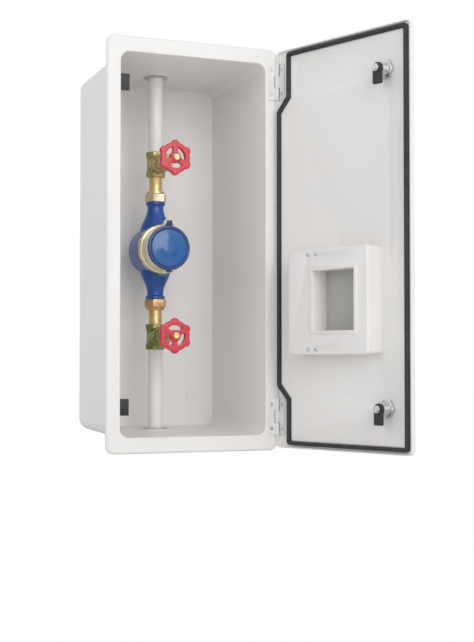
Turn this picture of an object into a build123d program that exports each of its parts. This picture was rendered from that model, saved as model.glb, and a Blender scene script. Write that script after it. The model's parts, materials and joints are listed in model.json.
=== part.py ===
from build123d import *
import math
import os

# Recessed water meter cabinet with its door standing open.
# Millimetres. X runs to the hinge side, Y runs into the wall, Z is up.
# The origin is the centre of the back wall's outer face.

# Enclosure: a one-piece moulded tub with a frame around its mouth
body_width = 267.0
body_height = 600.0
body_depth = 205.0
wall = 3.5
frame_face = 20.0
frame_end_face = 23.0
frame_thk = 7.0
frame_corner_r = 12.0
frame_edge_r = 4.0
mouth_edge_r = 1.5
side_draft = 3.5
end_draft = 7.5
tub_corner_r = 14.0
tub_back_r = 5.0

# Fixing holes in the back wall
fixing_pitch_x = 150.0
fixing_pitch_z = 440.0
fixing_hole_r = 3.5
fixing_pad_r = 11.0
fixing_pad_thk = 1.5

# Door: a shallow moulded tray that covers the frame
door_width = 268.0
door_height = 591.0
door_thk = 4.0
door_corner_r = 8.0
door_edge_r = 2.5
door_open_angle = 107.7
door_hinge_edge = 1.0
door_lip_thk = 2.0
door_lip_height = 4.15
seal_gap = 0.3
seal_inset = 4.0
seal_corner_r = 3.0
seal_width = 7.0
seal_thk = 6.0
seal_land = 2.0
seal_inner_r = 1.5
seal_bevel = 1.2
seal_jog_depth = 21.0
seal_jog_height = 215.0
shoulder_top = 2.0
shoulder_slope = 11.0
shoulder_height = 3.4

# Hinges at the top and bottom corners of the frame
hinge_inset = 3.25
hinge_height = 250.0
hinge_length = 54.0
hinge_leaf_thk = 1.6
hinge_leaf_width = 12.4
knuckle_r = 3.1
knuckle_gap = 0.4
hinge_pin_r = 1.5
hinge_pin_head_r = 2.6
hinge_pin_head = 1.2
pin_clearance = 0.05
hinge_notch_gap = 2.0
hinge_screw_r = 1.6
hinge_screw_head_r = 2.8
hinge_screw_head = 1.1
hinge_screw_bite = 3.0
hinge_screw_pitch = 36.0
hinge_screw_edge = 4.6

# Quarter-turn locks and the catches that they hook behind
lock_inset = 45.0
lock_height = 233.5
lock_reach = 16.3
lock_barrel_r = 9.0
lock_barrel_flats = 16.0
lock_head_r = 13.0
lock_head = 3.0
lock_nut_flats = 24.0
lock_nut_thk = 5.0
plug_r = 6.0
plug_head_r = 8.5
plug_head = 1.8
key_post_r = 3.4
key_post = 1.4
cam_width = 16.0
cam_reach = 22.0
cam_thk = 3.0
cam_standoff = 0.8
cam_square = 8.0
cam_stud_r = 3.0
cam_stud = 5.5
cam_nut_flats = 10.0
cam_nut_thk = 4.0
catch_height = 24.0
catch_tab = 15.0
catch_thk = 2.6
catch_foot_thk = 2.0
catch_foot = 24.0
catch_play = 0.5
rivet_r = 2.0
rivet_head_r = 3.6
rivet_head = 1.1
rivet_pitch = 12.0

# Housing on the inside of the door, with its square window
module_width = 159.0
module_height = 150.0
module_depth = 30.0
module_free_edge = 53.7
module_bottom = 141.5
module_wall = 2.5
module_corner_r = 6.0
module_base_thk = 2.0
module_base_gap = 0.4
window_width = 82.0
window_height = 86.0
window_left = 26.0
window_bottom = 33.5
window_wall = 2.0
window_bezel = 5.0
window_bezel_thk = 1.2
post_r = 4.0
module_screw_r = 1.5
module_screw_head_r = 2.8
module_screw_head = 1.4
module_screw_length = 10.0
module_screw_column = 42.5
module_screw_pair = 16.0
module_screw_edge = 7.5

# Pipe run: everything stands on one vertical axis
pipe_x = -14.3
pipe_depth = 75.0
meter_mid = 2.5
pipe_r = 11.0
pipe_wall = 2.3
pipe_stub = 20.0
pipe_socket = 10.0
pipe_mark_width = 1.5
pipe_mark_depth = 0.3
pipe_mark_gap = 0.5
grommet_lip_r = 19.0
grommet_lip = 2.0
grommet_neck_r = 15.0
entry_pad_r = 24.0
entry_pad_thk = 1.0

# Unions between the valves and the meter
union_nut_flats = 30.0
union_nut_height = 16.5
union_lip = 3.5
union_collar_r = 12.9
union_collar = 3.0
union_washer_thk = 2.0
tail_r = 10.0
tail_bore_r = 7.5
tail_visible = 22.0
tail_socket = 9.0
meter_thread_r = 13.2
thread_play = 0.05

# Gate valves
valve_length = 39.0
valve_end_flats = 27.0
valve_end = 9.0
valve_barrel_r = 13.4
valve_neck_r = 14.0
valve_neck = 20.0
valve_bore_r = 8.5
bonnet_flats = 27.0
bonnet_hex = 9.0
bonnet_r = 12.0
bonnet_length = 26.0
gland_flats = 17.0
gland_length = 10.0
gate_r = 9.5
gate_thk = 8.0
gate_play = 0.3
gate_block_width = 12.0
gate_block = 12.5
gate_travel = 18.0
bonnet_cavity_play = 1.0
bore_margin = 1.0
stem_r = 2.5
stem_shank_r = 3.4
stem_reach = 14.5
stem_collar_r = 5.0
stem_collar = 2.4
wheel_reach = 85.0
wheel_square = 5.6
wheel_r = 23.0
wheel_lobes = 6
wheel_lobe_r = 6.6
wheel_lobe_pitch_r = 20.0
wheel_thk = 9.0
wheel_edge_r = 2.6
wheel_hub_r = 7.6
wheel_hub = 12.0
wheel_windows = 3
wheel_window_r = 15.8
wheel_spoke = 7.0
upper_wheel_turn = 30.0
lower_wheel_turn = 90.0
wheel_nut_flats = 9.0
wheel_nut_thk = 4.0
wheel_stud_r = 2.2

# Water meter: body, measuring chamber and impeller
meter_length = 165.0
meter_neck_r = 12.2
meter_collar_r = 15.0
meter_collar = 6.0
flare_r = 23.5
flare_start = 27.0
flare_mid_r = 17.5
flare_mid = 48.0
drum_r = 37.0
drum_back = 20.0
drum_front = 24.0
drum_edge_r = 9.0
drum_bore_r = 31.0
drum_floor = 5.0
drum_neck = 6.0
port_r = 7.0
calibration_r = 5.5
calibration_reach = 20.0
calibration_side = 13.0
calibration_rise = 45.0
chamber_r = 30.6
chamber_wall = 2.5
chamber_slots = 3
chamber_slot_width = 6.0
chamber_slot = 9.0
impeller_r = 22.0
impeller_blades = 7
impeller_blade_thk = 2.0
impeller_height = 14.0
impeller_hub_r = 5.0
spindle_r = 1.5
spindle_seat = 1.5
spindle_play = 0.2

# Meter head: ring, register and hinged lid
ring_r = 37.5
ring_length = 12.0
ring_lip = 3.0
ring_bore_r = 34.0
ring_grips = 12
ring_grip_r = 4.0
ring_grip_depth = 1.2
register_r = 31.4
register_length = 26.0
register_floor = 3.0
dial_r = 27.5
dial_thk = 1.0
dial_seat = 2.0
dial_height = 7.0
star_r = 4.5
star_thk = 1.2
star_lift = 0.4
star_spindle_r = 0.8
glass_r = 29.5
glass_thk = 3.0
glass_below = 1.0
hood_r = 34.0
hood_lip = 2.0
hood_bore_r = 28.3
lid_r = 33.5
lid_thk = 2.8
lid_gap = 0.4
lid_border = 5.0
lid_border_rise = 1.2
lid_crown = 1.4
lid_hinge_rise = 38.5
lid_hinge_r = 3.0
lid_knuckle = 9.0
lid_ear = 3.0
lid_ear_gap = 0.3
lid_pin_r = 1.2
lid_tab_width = 9.0
lid_tab = 3.5

# Places worked out from the sizes above
front = -body_depth
mouth_half_width = body_width / 2 - frame_face
mouth_half_height = body_height / 2 - frame_end_face
pipe_y = -pipe_depth

hinge_x = body_width / 2 - hinge_inset
door_face = front - seal_gap - seal_thk - seal_land
door_outer = door_face - door_thk
hinge_y = (front + door_face) / 2
door_right = body_width / 2 - door_hinge_edge
door_left = door_right - door_width
door_mid = (door_left + door_right) / 2
door_swing = (
    Location((hinge_x, hinge_y, 0))
    * Location((0, 0, 0), (0, 0, door_open_angle))
    * Location((-hinge_x, -hinge_y, 0))
)

lock_x = -body_width / 2 + lock_inset
plug_end = door_face + lock_reach + cam_standoff
cam_back = plug_end + cam_thk

module_right = -body_width / 2 + module_free_edge + module_width
module_mid_z = -body_height / 2 + module_bottom + module_height / 2
module_front = door_face + module_depth


def shell_half_width(y):
    return mouth_half_width - side_draft * (y - front) / body_depth


def shell_half_height(y):
    return mouth_half_height - end_draft * (y - front) / body_depth


def front_plane(x, y, z):
    """A plane that faces out of the cabinet, with its own y axis pointing up."""
    return Plane(origin=(x, y, z), x_dir=(1, 0, 0), z_dir=(0, -1, 0))


def level_plane(x, y, z):
    return Plane(origin=(x, y, z), x_dir=(1, 0, 0), z_dir=(0, 0, 1))


def wall_plane(y, z):
    """On the inner face of the left side wall, facing squarely into the cabinet."""
    return Plane(
        origin=(-shell_half_width(y), y, z),
        x_dir=(0, 0, 1),
        z_dir=(body_depth, -side_draft, 0),
    )


def seal_face(inset, mode=Mode.ADD):
    """The seal's outer line moved inwards, stepping round the hinges at the right."""
    right = door_right - seal_inset - inset
    jog = right - seal_jog_depth
    left = door_left + seal_inset + inset
    top = door_height / 2 - seal_inset - inset
    middle = seal_jog_height - inset * math.tan(math.radians(22.5))
    low = middle - seal_jog_depth / 2
    high = middle + seal_jog_depth / 2
    with BuildSketch(mode=Mode.PRIVATE) as outline:
        with BuildLine():
            Polyline(
                (left, -top), (jog, -top), (jog, -high), (right, -low),
                (right, low), (jog, high), (jog, top), (left, top),
                close=True,
            )
        make_face()
        fillet(outline.vertices(), max(seal_corner_r - inset, seal_inner_r))
    add(outline.sketch, mode=mode)


def lock_section():
    """A round barrel with two flats that stop it turning in the door."""
    with BuildSketch(mode=Mode.PRIVATE) as section:
        Circle(lock_barrel_r)
        Rectangle(lock_barrel_flats, 2 * lock_barrel_r, mode=Mode.INTERSECT)
    add(section.sketch)


def hexagon(flats):
    return RegularPolygon(flats / 2, 6, major_radius=False)


os.makedirs("parts", exist_ok=True)

# Enclosure body
fixings = [
    (sx * fixing_pitch_x / 2, sz * fixing_pitch_z / 2) for sx in (-1, 1) for sz in (-1, 1)
]
catch_front = plug_end - catch_play - catch_thk
rivet_depth = catch_front + catch_thk + catch_foot / 2
hinge_screw_rows = (-hinge_screw_pitch / 2, hinge_screw_pitch / 2)
hinge_screw_x = hinge_x - hinge_leaf_width + hinge_screw_edge
entry_half_height = shell_half_height(pipe_y)

with BuildPart() as enclosure_body:
    for y in (front, 0):
        with BuildSketch(front_plane(0, y, 0)):
            RectangleRounded(
                2 * (shell_half_width(y) + wall),
                2 * (shell_half_height(y) + wall),
                tub_corner_r + wall,
            )
    loft(ruled=True)
    fillet(enclosure_body.faces().sort_by(Axis.Y)[-1].edges(), tub_back_r)
    with BuildSketch(front_plane(0, front, 0)):
        RectangleRounded(body_width, body_height, frame_corner_r)
    extrude(amount=-frame_thk)
    for y in (front, -wall):
        with BuildSketch(front_plane(0, y, 0)):
            RectangleRounded(2 * shell_half_width(y), 2 * shell_half_height(y), tub_corner_r)
    loft(ruled=True, mode=Mode.SUBTRACT)
    fillet(enclosure_body.faces().sort_by(Axis.Y)[0].outer_wire().edges(), frame_edge_r)
    fillet(enclosure_body.faces().sort_by(Axis.Y)[0].inner_wires()[0].edges(), mouth_edge_r)
    # Level pads where the pipe passes through the ceiling and the floor
    for side in (-1, 1):
        z = side * (entry_half_height - entry_pad_thk)
        with BuildSketch(level_plane(pipe_x, pipe_y, z)):
            Circle(entry_pad_r)
        extrude(amount=side * (wall + 2 * entry_pad_thk))
        with BuildSketch(level_plane(pipe_x, pipe_y, z)):
            Circle(grommet_neck_r)
        extrude(amount=side * (wall + 2 * entry_pad_thk), mode=Mode.SUBTRACT)
    # Raised pads and holes that fix the back wall
    with BuildSketch(front_plane(0, -wall, 0)):
        with Locations(*fixings):
            Circle(fixing_pad_r)
    extrude(amount=fixing_pad_thk)
    with BuildSketch(front_plane(0, 0, 0)):
        with Locations(*fixings):
            Circle(fixing_hole_r)
    extrude(amount=wall + fixing_pad_thk, mode=Mode.SUBTRACT)
    # Rivet holes for the catches and screw holes for the hinges
    for end in (-1, 1):
        with BuildSketch(wall_plane(rivet_depth, end * lock_height)):
            with Locations((-rivet_pitch / 2, 0), (rivet_pitch / 2, 0)):
                Circle(rivet_r)
        extrude(amount=-2 * wall, mode=Mode.SUBTRACT)
        with BuildSketch(front_plane(hinge_screw_x, front, end * hinge_height)):
            with Locations(*[(0, row) for row in hinge_screw_rows]):
                Circle(hinge_screw_r)
        extrude(amount=-hinge_screw_bite, mode=Mode.SUBTRACT)

enclosure_body.part.label = "enclosure_body"
export_step(enclosure_body.part, "parts/enclosure_body.step")

# Catches on the left wall, one behind each end of the door's free edge
for name, end in (("upper", 1), ("lower", -1)):
    tab_back = catch_front + catch_thk
    foot_end = tab_back + catch_foot
    with BuildPart() as catch:
        with BuildSketch(level_plane(0, 0, end * lock_height - catch_height / 2)):
            with BuildLine():
                Polyline(
                    (-shell_half_width(catch_front), catch_front),
                    (-mouth_half_width + catch_tab, catch_front),
                    (-mouth_half_width + catch_tab, tab_back),
                    (-shell_half_width(tab_back) + catch_foot_thk, tab_back),
                    (-shell_half_width(foot_end) + catch_foot_thk, foot_end),
                    (-shell_half_width(foot_end), foot_end),
                    close=True,
                )
            make_face()
        extrude(amount=catch_height)
        tip = catch.faces().sort_by(Axis.X)[-1]
        fillet(tip.edges().filter_by(Axis.Z), catch_thk * 0.4)
        with BuildSketch(wall_plane(rivet_depth, end * lock_height)):
            with Locations((-rivet_pitch / 2, 0), (rivet_pitch / 2, 0)):
                Circle(rivet_r)
        extrude(amount=2 * catch_foot_thk, both=True, mode=Mode.SUBTRACT)
    catch.part.label = f"{name}_catch"
    export_step(catch.part, f"parts/{name}_catch.step")

with BuildPart() as catch_rivets:
    for end in (-1, 1):
        for row in (-rivet_pitch / 2, rivet_pitch / 2):
            seat = wall_plane(rivet_depth, end * lock_height + row)
            with BuildSketch(seat.offset(-wall)):
                Circle(rivet_r)
            extrude(amount=wall + catch_foot_thk)
            with BuildSketch(seat.offset(-wall)):
                Circle(rivet_head_r)
            extrude(amount=-rivet_head, taper=30)
            with BuildSketch(seat.offset(catch_foot_thk)):
                Circle(rivet_head_r)
            extrude(amount=rivet_head, taper=30)

catch_rivets.part.label = "catch_rivets"
export_step(catch_rivets.part, "parts/catch_rivets.step")

# Hinges: each has two leaves, a pin and countersunk screws
knuckle_length = (hinge_length - 2 * knuckle_gap) / 3
knuckle_step = knuckle_length + knuckle_gap
leaf_edge = hinge_x - hinge_leaf_width
leaf_root = hinge_x - knuckle_r - knuckle_gap
leaf_level = (front - door_face) / 2
door_bore_r = hinge_pin_r + pin_clearance


def sunk_screw(seat, mode=Mode.ADD):
    """A countersunk screw with its flat head level with the seat."""
    slope = math.degrees(math.atan((hinge_screw_head_r - hinge_screw_r) / hinge_screw_head))
    with BuildSketch(seat) as screw_head:
        Circle(hinge_screw_head_r)
    extrude(screw_head.sketch, amount=-hinge_screw_head, taper=slope, mode=mode)
    with BuildSketch(seat) as shank:
        Circle(hinge_screw_r)
    extrude(shank.sketch, amount=-(hinge_leaf_thk + hinge_screw_bite), mode=mode)


def leaf_seats(side, height):
    """The screw seats on a leaf: side 1 is the frame's leaf and -1 the door's."""
    y = hinge_y + side * (leaf_level - hinge_leaf_thk)
    return [
        Plane(origin=(hinge_screw_x, y, height + row), x_dir=(1, 0, 0), z_dir=(0, -side, 0))
        for row in hinge_screw_rows
    ]


for name, end in (("upper", 1), ("lower", -1)):
    height = end * hinge_height
    for leaf_name, side, places, bore_r in (
        ("frame_leaf", 1, (-1, 1), hinge_pin_r),
        ("door_leaf", -1, (0,), door_bore_r),
    ):
        seat_y = hinge_y + side * leaf_level
        plate_y = seat_y - side * hinge_leaf_thk
        with BuildPart() as leaf:
            with BuildSketch(level_plane(0, 0, height - hinge_length / 2)):
                with BuildLine():
                    Polyline(
                        (leaf_edge, seat_y), (leaf_root, seat_y),
                        (leaf_root, plate_y), (leaf_edge, plate_y),
                        close=True,
                    )
                make_face()
            extrude(amount=hinge_length)
            corners = leaf.faces().sort_by(Axis.X)[0].edges().filter_by(Axis.Y)
            fillet(corners, hinge_leaf_thk)
            for place in places:
                start = height + place * knuckle_step - knuckle_length / 2
                with BuildSketch(level_plane(0, 0, start)):
                    with BuildLine():
                        Polyline(
                            (leaf_root, seat_y), (hinge_x, seat_y), (hinge_x, hinge_y),
                            (leaf_root + knuckle_gap, hinge_y), (leaf_root, plate_y),
                            close=True,
                        )
                    make_face()
                    with Locations((hinge_x, hinge_y)):
                        Circle(knuckle_r)
                        Circle(bore_r, mode=Mode.SUBTRACT)
                extrude(amount=knuckle_length)
            for seat in leaf_seats(side, height):
                sunk_screw(seat, mode=Mode.SUBTRACT)
        if side < 0:
            leaf.part = leaf.part.moved(door_swing)
        leaf.part.label = f"{name}_{leaf_name}"
        export_step(leaf.part, f"parts/{name}_{leaf_name}.step")

    with BuildPart() as hinge_pin:
        foot = height - hinge_length / 2
        with BuildSketch(level_plane(hinge_x, hinge_y, foot)):
            Circle(hinge_pin_r)
        extrude(amount=hinge_length)
        with BuildSketch(level_plane(hinge_x, hinge_y, foot + hinge_length)):
            Circle(hinge_pin_head_r)
        extrude(amount=hinge_pin_head)
        fillet(hinge_pin.edges().sort_by(Axis.Z)[-1], hinge_pin_head * 0.6)
    hinge_pin.part.label = f"{name}_hinge_pin"
    export_step(hinge_pin.part, f"parts/{name}_hinge_pin.step")

with BuildPart() as frame_leaf_screws:
    for end in (-1, 1):
        for seat in leaf_seats(1, end * hinge_height):
            sunk_screw(seat)

frame_leaf_screws.part.label = "frame_leaf_screws"
export_step(frame_leaf_screws.part, "parts/frame_leaf_screws.step")

with BuildPart() as door_leaf_screws:
    for end in (-1, 1):
        for seat in leaf_seats(-1, end * hinge_height):
            sunk_screw(seat)

door_leaf_screws.part = door_leaf_screws.part.moved(door_swing)
door_leaf_screws.part.label = "door_leaf_screws"
export_step(door_leaf_screws.part, "parts/door_leaf_screws.step")

# Door panel: drawn shut, then swung open about the hinges
lock_places = [(lock_x, end * lock_height) for end in (-1, 1)]
shoulder_edge = seal_width + shoulder_top

with BuildPart() as door_panel:
    with BuildSketch(front_plane(door_mid, door_outer, 0)):
        RectangleRounded(door_width, door_height, door_corner_r)
    extrude(amount=-(door_thk + door_lip_height))
    fillet(door_panel.faces().sort_by(Axis.Y)[0].edges(), door_edge_r)
    with BuildSketch(front_plane(door_mid, door_face, 0)):
        RectangleRounded(
            door_width - 2 * door_lip_thk,
            door_height - 2 * door_lip_thk,
            door_corner_r - door_lip_thk,
        )
    extrude(amount=-door_lip_height, mode=Mode.SUBTRACT)
    # The land that the seal is bonded to
    with BuildSketch(front_plane(0, door_face, 0)):
        seal_face(0)
        seal_face(seal_width, mode=Mode.SUBTRACT)
    extrude(amount=-seal_land)
    # The shoulder inside the seal falls away to the flat of the door
    with BuildSketch(front_plane(0, door_face, 0)):
        seal_face(seal_width)
    extrude(amount=-shoulder_height)
    with BuildSketch(front_plane(0, door_face + shoulder_height, 0)):
        seal_face(shoulder_edge)
    with BuildSketch(front_plane(0, door_face, 0)):
        seal_face(shoulder_edge + shoulder_slope)
    loft(ruled=True, mode=Mode.SUBTRACT)
    # Notches in the lip that clear the hinge knuckles
    for end in (-1, 1):
        with BuildSketch(front_plane(door_right, door_face, end * hinge_height)):
            Rectangle(4 * door_lip_thk, hinge_length + 2 * hinge_notch_gap)
        extrude(amount=-door_lip_height, mode=Mode.SUBTRACT)
        with BuildSketch(front_plane(hinge_screw_x, door_face, end * hinge_height)):
            with Locations(*[(0, row) for row in hinge_screw_rows]):
                Circle(hinge_screw_r)
        extrude(amount=hinge_screw_bite, mode=Mode.SUBTRACT)
    # Flatted holes for the lock barrels
    with BuildSketch(front_plane(0, door_face, 0)):
        for place in lock_places:
            with Locations(place):
                lock_section()
    extrude(amount=door_thk, mode=Mode.SUBTRACT)

door_panel.part = door_panel.part.moved(door_swing)
door_panel.part.label = "door_panel"
export_step(door_panel.part, "parts/door_panel.step")

# Door seal
with BuildPart() as door_seal:
    with BuildSketch(front_plane(0, door_face + seal_land, 0)):
        seal_face(0)
        seal_face(seal_width, mode=Mode.SUBTRACT)
    extrude(amount=-seal_thk)
    chamfer(door_seal.faces().sort_by(Axis.Y)[-1].edges(), seal_bevel)

door_seal.part = door_seal.part.moved(door_swing)
door_seal.part.label = "door_seal"
export_step(door_seal.part, "parts/door_seal.step")

# Quarter-turn locks
for name, end in (("upper", 1), ("lower", -1)):
    height = end * lock_height
    with BuildPart() as lock_housing:
        with BuildSketch(front_plane(lock_x, door_outer, height)):
            Circle(lock_head_r)
        extrude(amount=lock_head)
        fillet(lock_housing.faces().sort_by(Axis.Y)[0].edges(), lock_head * 0.4)
        with BuildSketch(front_plane(lock_x, door_outer, height)):
            lock_section()
        extrude(amount=-(door_thk + lock_reach))
        with BuildSketch(front_plane(lock_x, door_outer, height)):
            Circle(plug_head_r + pin_clearance)
        extrude(amount=lock_head, mode=Mode.SUBTRACT)
        with BuildSketch(front_plane(lock_x, door_outer, height)):
            Circle(plug_r + pin_clearance)
        extrude(amount=-(door_thk + lock_reach), mode=Mode.SUBTRACT)
    lock_housing.part = lock_housing.part.moved(door_swing)
    lock_housing.part.label = f"{name}_lock_housing"
    export_step(lock_housing.part, f"parts/{name}_lock_housing.step")

    with BuildPart() as lock_plug:
        with BuildSketch(front_plane(lock_x, door_outer - pin_clearance, height)):
            Circle(plug_head_r)
        extrude(amount=plug_head)
        with BuildSketch(front_plane(lock_x, door_outer - pin_clearance - plug_head, height)):
            RegularPolygon(key_post_r, 3)
        extrude(amount=key_post - pin_clearance)
        with BuildSketch(front_plane(lock_x, plug_end, height)):
            Circle(plug_r)
        extrude(amount=plug_end - door_outer + pin_clearance)
        with BuildSketch(front_plane(lock_x, cam_back, height)):
            Rectangle(cam_square, cam_square)
        extrude(amount=cam_thk)
        with BuildSketch(front_plane(lock_x, cam_back, height)):
            Circle(cam_stud_r)
        extrude(amount=-cam_stud)
    lock_plug.part = lock_plug.part.moved(door_swing)
    lock_plug.part.label = f"{name}_lock_plug"
    export_step(lock_plug.part, f"parts/{name}_lock_plug.step")

    with BuildPart() as cam:
        with BuildSketch(front_plane(lock_x, cam_back, height)) as blade:
            with Locations((0, -cam_reach / 2)):
                Rectangle(cam_width, cam_reach)
            fillet(blade.vertices().group_by(Axis.Z)[0], cam_width * 0.14)
            Circle(cam_width / 2)
            Rectangle(cam_square, cam_square, mode=Mode.SUBTRACT)
        extrude(amount=cam_thk)
    cam.part = cam.part.moved(door_swing)
    cam.part.label = f"{name}_cam"
    export_step(cam.part, f"parts/{name}_cam.step")

    with BuildPart() as cam_nut:
        with BuildSketch(front_plane(lock_x, cam_back, height)):
            hexagon(cam_nut_flats)
            Circle(cam_stud_r, mode=Mode.SUBTRACT)
        extrude(amount=-cam_nut_thk)
    cam_nut.part = cam_nut.part.moved(door_swing)
    cam_nut.part.label = f"{name}_cam_nut"
    export_step(cam_nut.part, f"parts/{name}_cam_nut.step")

with BuildPart() as lock_nuts:
    for place in lock_places:
        with BuildSketch(front_plane(place[0], door_face, place[1])):
            hexagon(lock_nut_flats)
            Circle(lock_barrel_r, mode=Mode.SUBTRACT)
        extrude(amount=-lock_nut_thk)

lock_nuts.part = lock_nuts.part.moved(door_swing)
lock_nuts.part.label = "lock_nuts"
export_step(lock_nuts.part, "parts/lock_nuts.step")

# Module housing: a base bonded to the door and a cover with a square window
module_left = module_right - module_width
module_mid_x = (module_left + module_right) / 2
module_foot = module_mid_z - module_height / 2
window_x = module_left + window_left + window_width / 2
window_z = module_foot + window_bottom + window_height / 2
base_top = door_face + module_base_thk
cover_inset = module_wall + module_base_gap
post_row = module_height / 2 - module_screw_edge
post_places = [
    (module_right - module_screw_column - shift, module_mid_z + end * post_row)
    for end in (-1, 1)
    for shift in (0, module_screw_pair)
]

with BuildPart() as module_base:
    with BuildSketch(front_plane(module_mid_x, door_face, module_mid_z)):
        RectangleRounded(
            module_width - 2 * cover_inset,
            module_height - 2 * cover_inset,
            module_corner_r - module_wall,
        )
    extrude(amount=-module_base_thk)
    with BuildSketch(front_plane(0, base_top, 0)):
        with Locations(*post_places):
            Circle(post_r)
    extrude(amount=-(module_front - module_wall - base_top))
    with BuildSketch(front_plane(0, module_front - module_wall, 0)):
        with Locations(*post_places):
            Circle(module_screw_r)
    extrude(amount=module_screw_length, mode=Mode.SUBTRACT)

module_base.part = module_base.part.moved(door_swing)
module_base.part.label = "module_base"
export_step(module_base.part, "parts/module_base.step")

with BuildPart() as module_cover:
    with BuildSketch(front_plane(module_mid_x, door_face, module_mid_z)):
        RectangleRounded(module_width, module_height, module_corner_r)
    extrude(amount=-module_depth)
    fillet(module_cover.faces().sort_by(Axis.Y)[-1].edges(), module_wall)
    with BuildSketch(front_plane(module_mid_x, door_face, module_mid_z)):
        RectangleRounded(
            module_width - 2 * module_wall,
            module_height - 2 * module_wall,
            module_corner_r - module_wall,
        )
    extrude(amount=-(module_depth - module_wall), mode=Mode.SUBTRACT)
    with BuildSketch(front_plane(window_x, base_top, window_z)):
        Rectangle(window_width + 2 * window_wall, window_height + 2 * window_wall)
    extrude(amount=-(module_front - base_top))
    with BuildSketch(front_plane(window_x, module_front, window_z)):
        Rectangle(window_width + 2 * window_bezel, window_height + 2 * window_bezel)
    extrude(amount=-window_bezel_thk)
    with BuildSketch(front_plane(window_x, base_top, window_z)):
        Rectangle(window_width, window_height)
    extrude(amount=-(module_front + window_bezel_thk - base_top), mode=Mode.SUBTRACT)
    with BuildSketch(front_plane(0, module_front, 0)):
        with Locations(*post_places):
            Circle(module_screw_r)
    extrude(amount=module_wall, mode=Mode.SUBTRACT)

module_cover.part = module_cover.part.moved(door_swing)
module_cover.part.label = "module_cover"
export_step(module_cover.part, "parts/module_cover.step")

with BuildPart() as module_screws:
    with BuildSketch(front_plane(0, module_front, 0)):
        with Locations(*post_places):
            Circle(module_screw_head_r)
    extrude(amount=-module_screw_head)
    with BuildSketch(front_plane(0, module_front, 0)):
        with Locations(*post_places):
            Circle(module_screw_r)
    extrude(amount=module_screw_length)

module_screws.part = module_screws.part.moved(door_swing)
module_screws.part.label = "module_screws"
export_step(module_screws.part, "parts/module_screws.step")

# Distances along the pipe's axis, measured from the middle of the meter
tail_start = meter_length / 2 + union_washer_thk
lip_start = tail_start + union_collar
union_end = lip_start + union_lip
union_start = union_end - union_nut_height
valve_start = union_end + tail_visible
valve_mid = valve_start + valve_length / 2
valve_end_face = valve_start + valve_length
pipe_start = valve_end_face - pipe_socket
entry_face = entry_half_height - entry_pad_thk
entry_outer = entry_half_height + wall + entry_pad_thk
pipe_end = entry_outer + pipe_stub
mark_start = entry_outer + grommet_lip + pipe_mark_gap
pocket_r = gate_r + gate_play

# Distances in front of the pipe's axis, along a valve's stem
bonnet_end = valve_neck + bonnet_length
gate_nose = gate_r + gate_block
disc_clear = gate_travel + pocket_r
bonnet_floor = gate_travel + gate_nose + bonnet_cavity_play
collar_start = bonnet_end - stem_collar - gate_play
wheel_back = wheel_reach - wheel_hub / 2
bonnet_cavity_r = pocket_r + bore_margin
block_bore_r = math.hypot(gate_block_width, gate_thk) / 2 + gate_play

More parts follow.
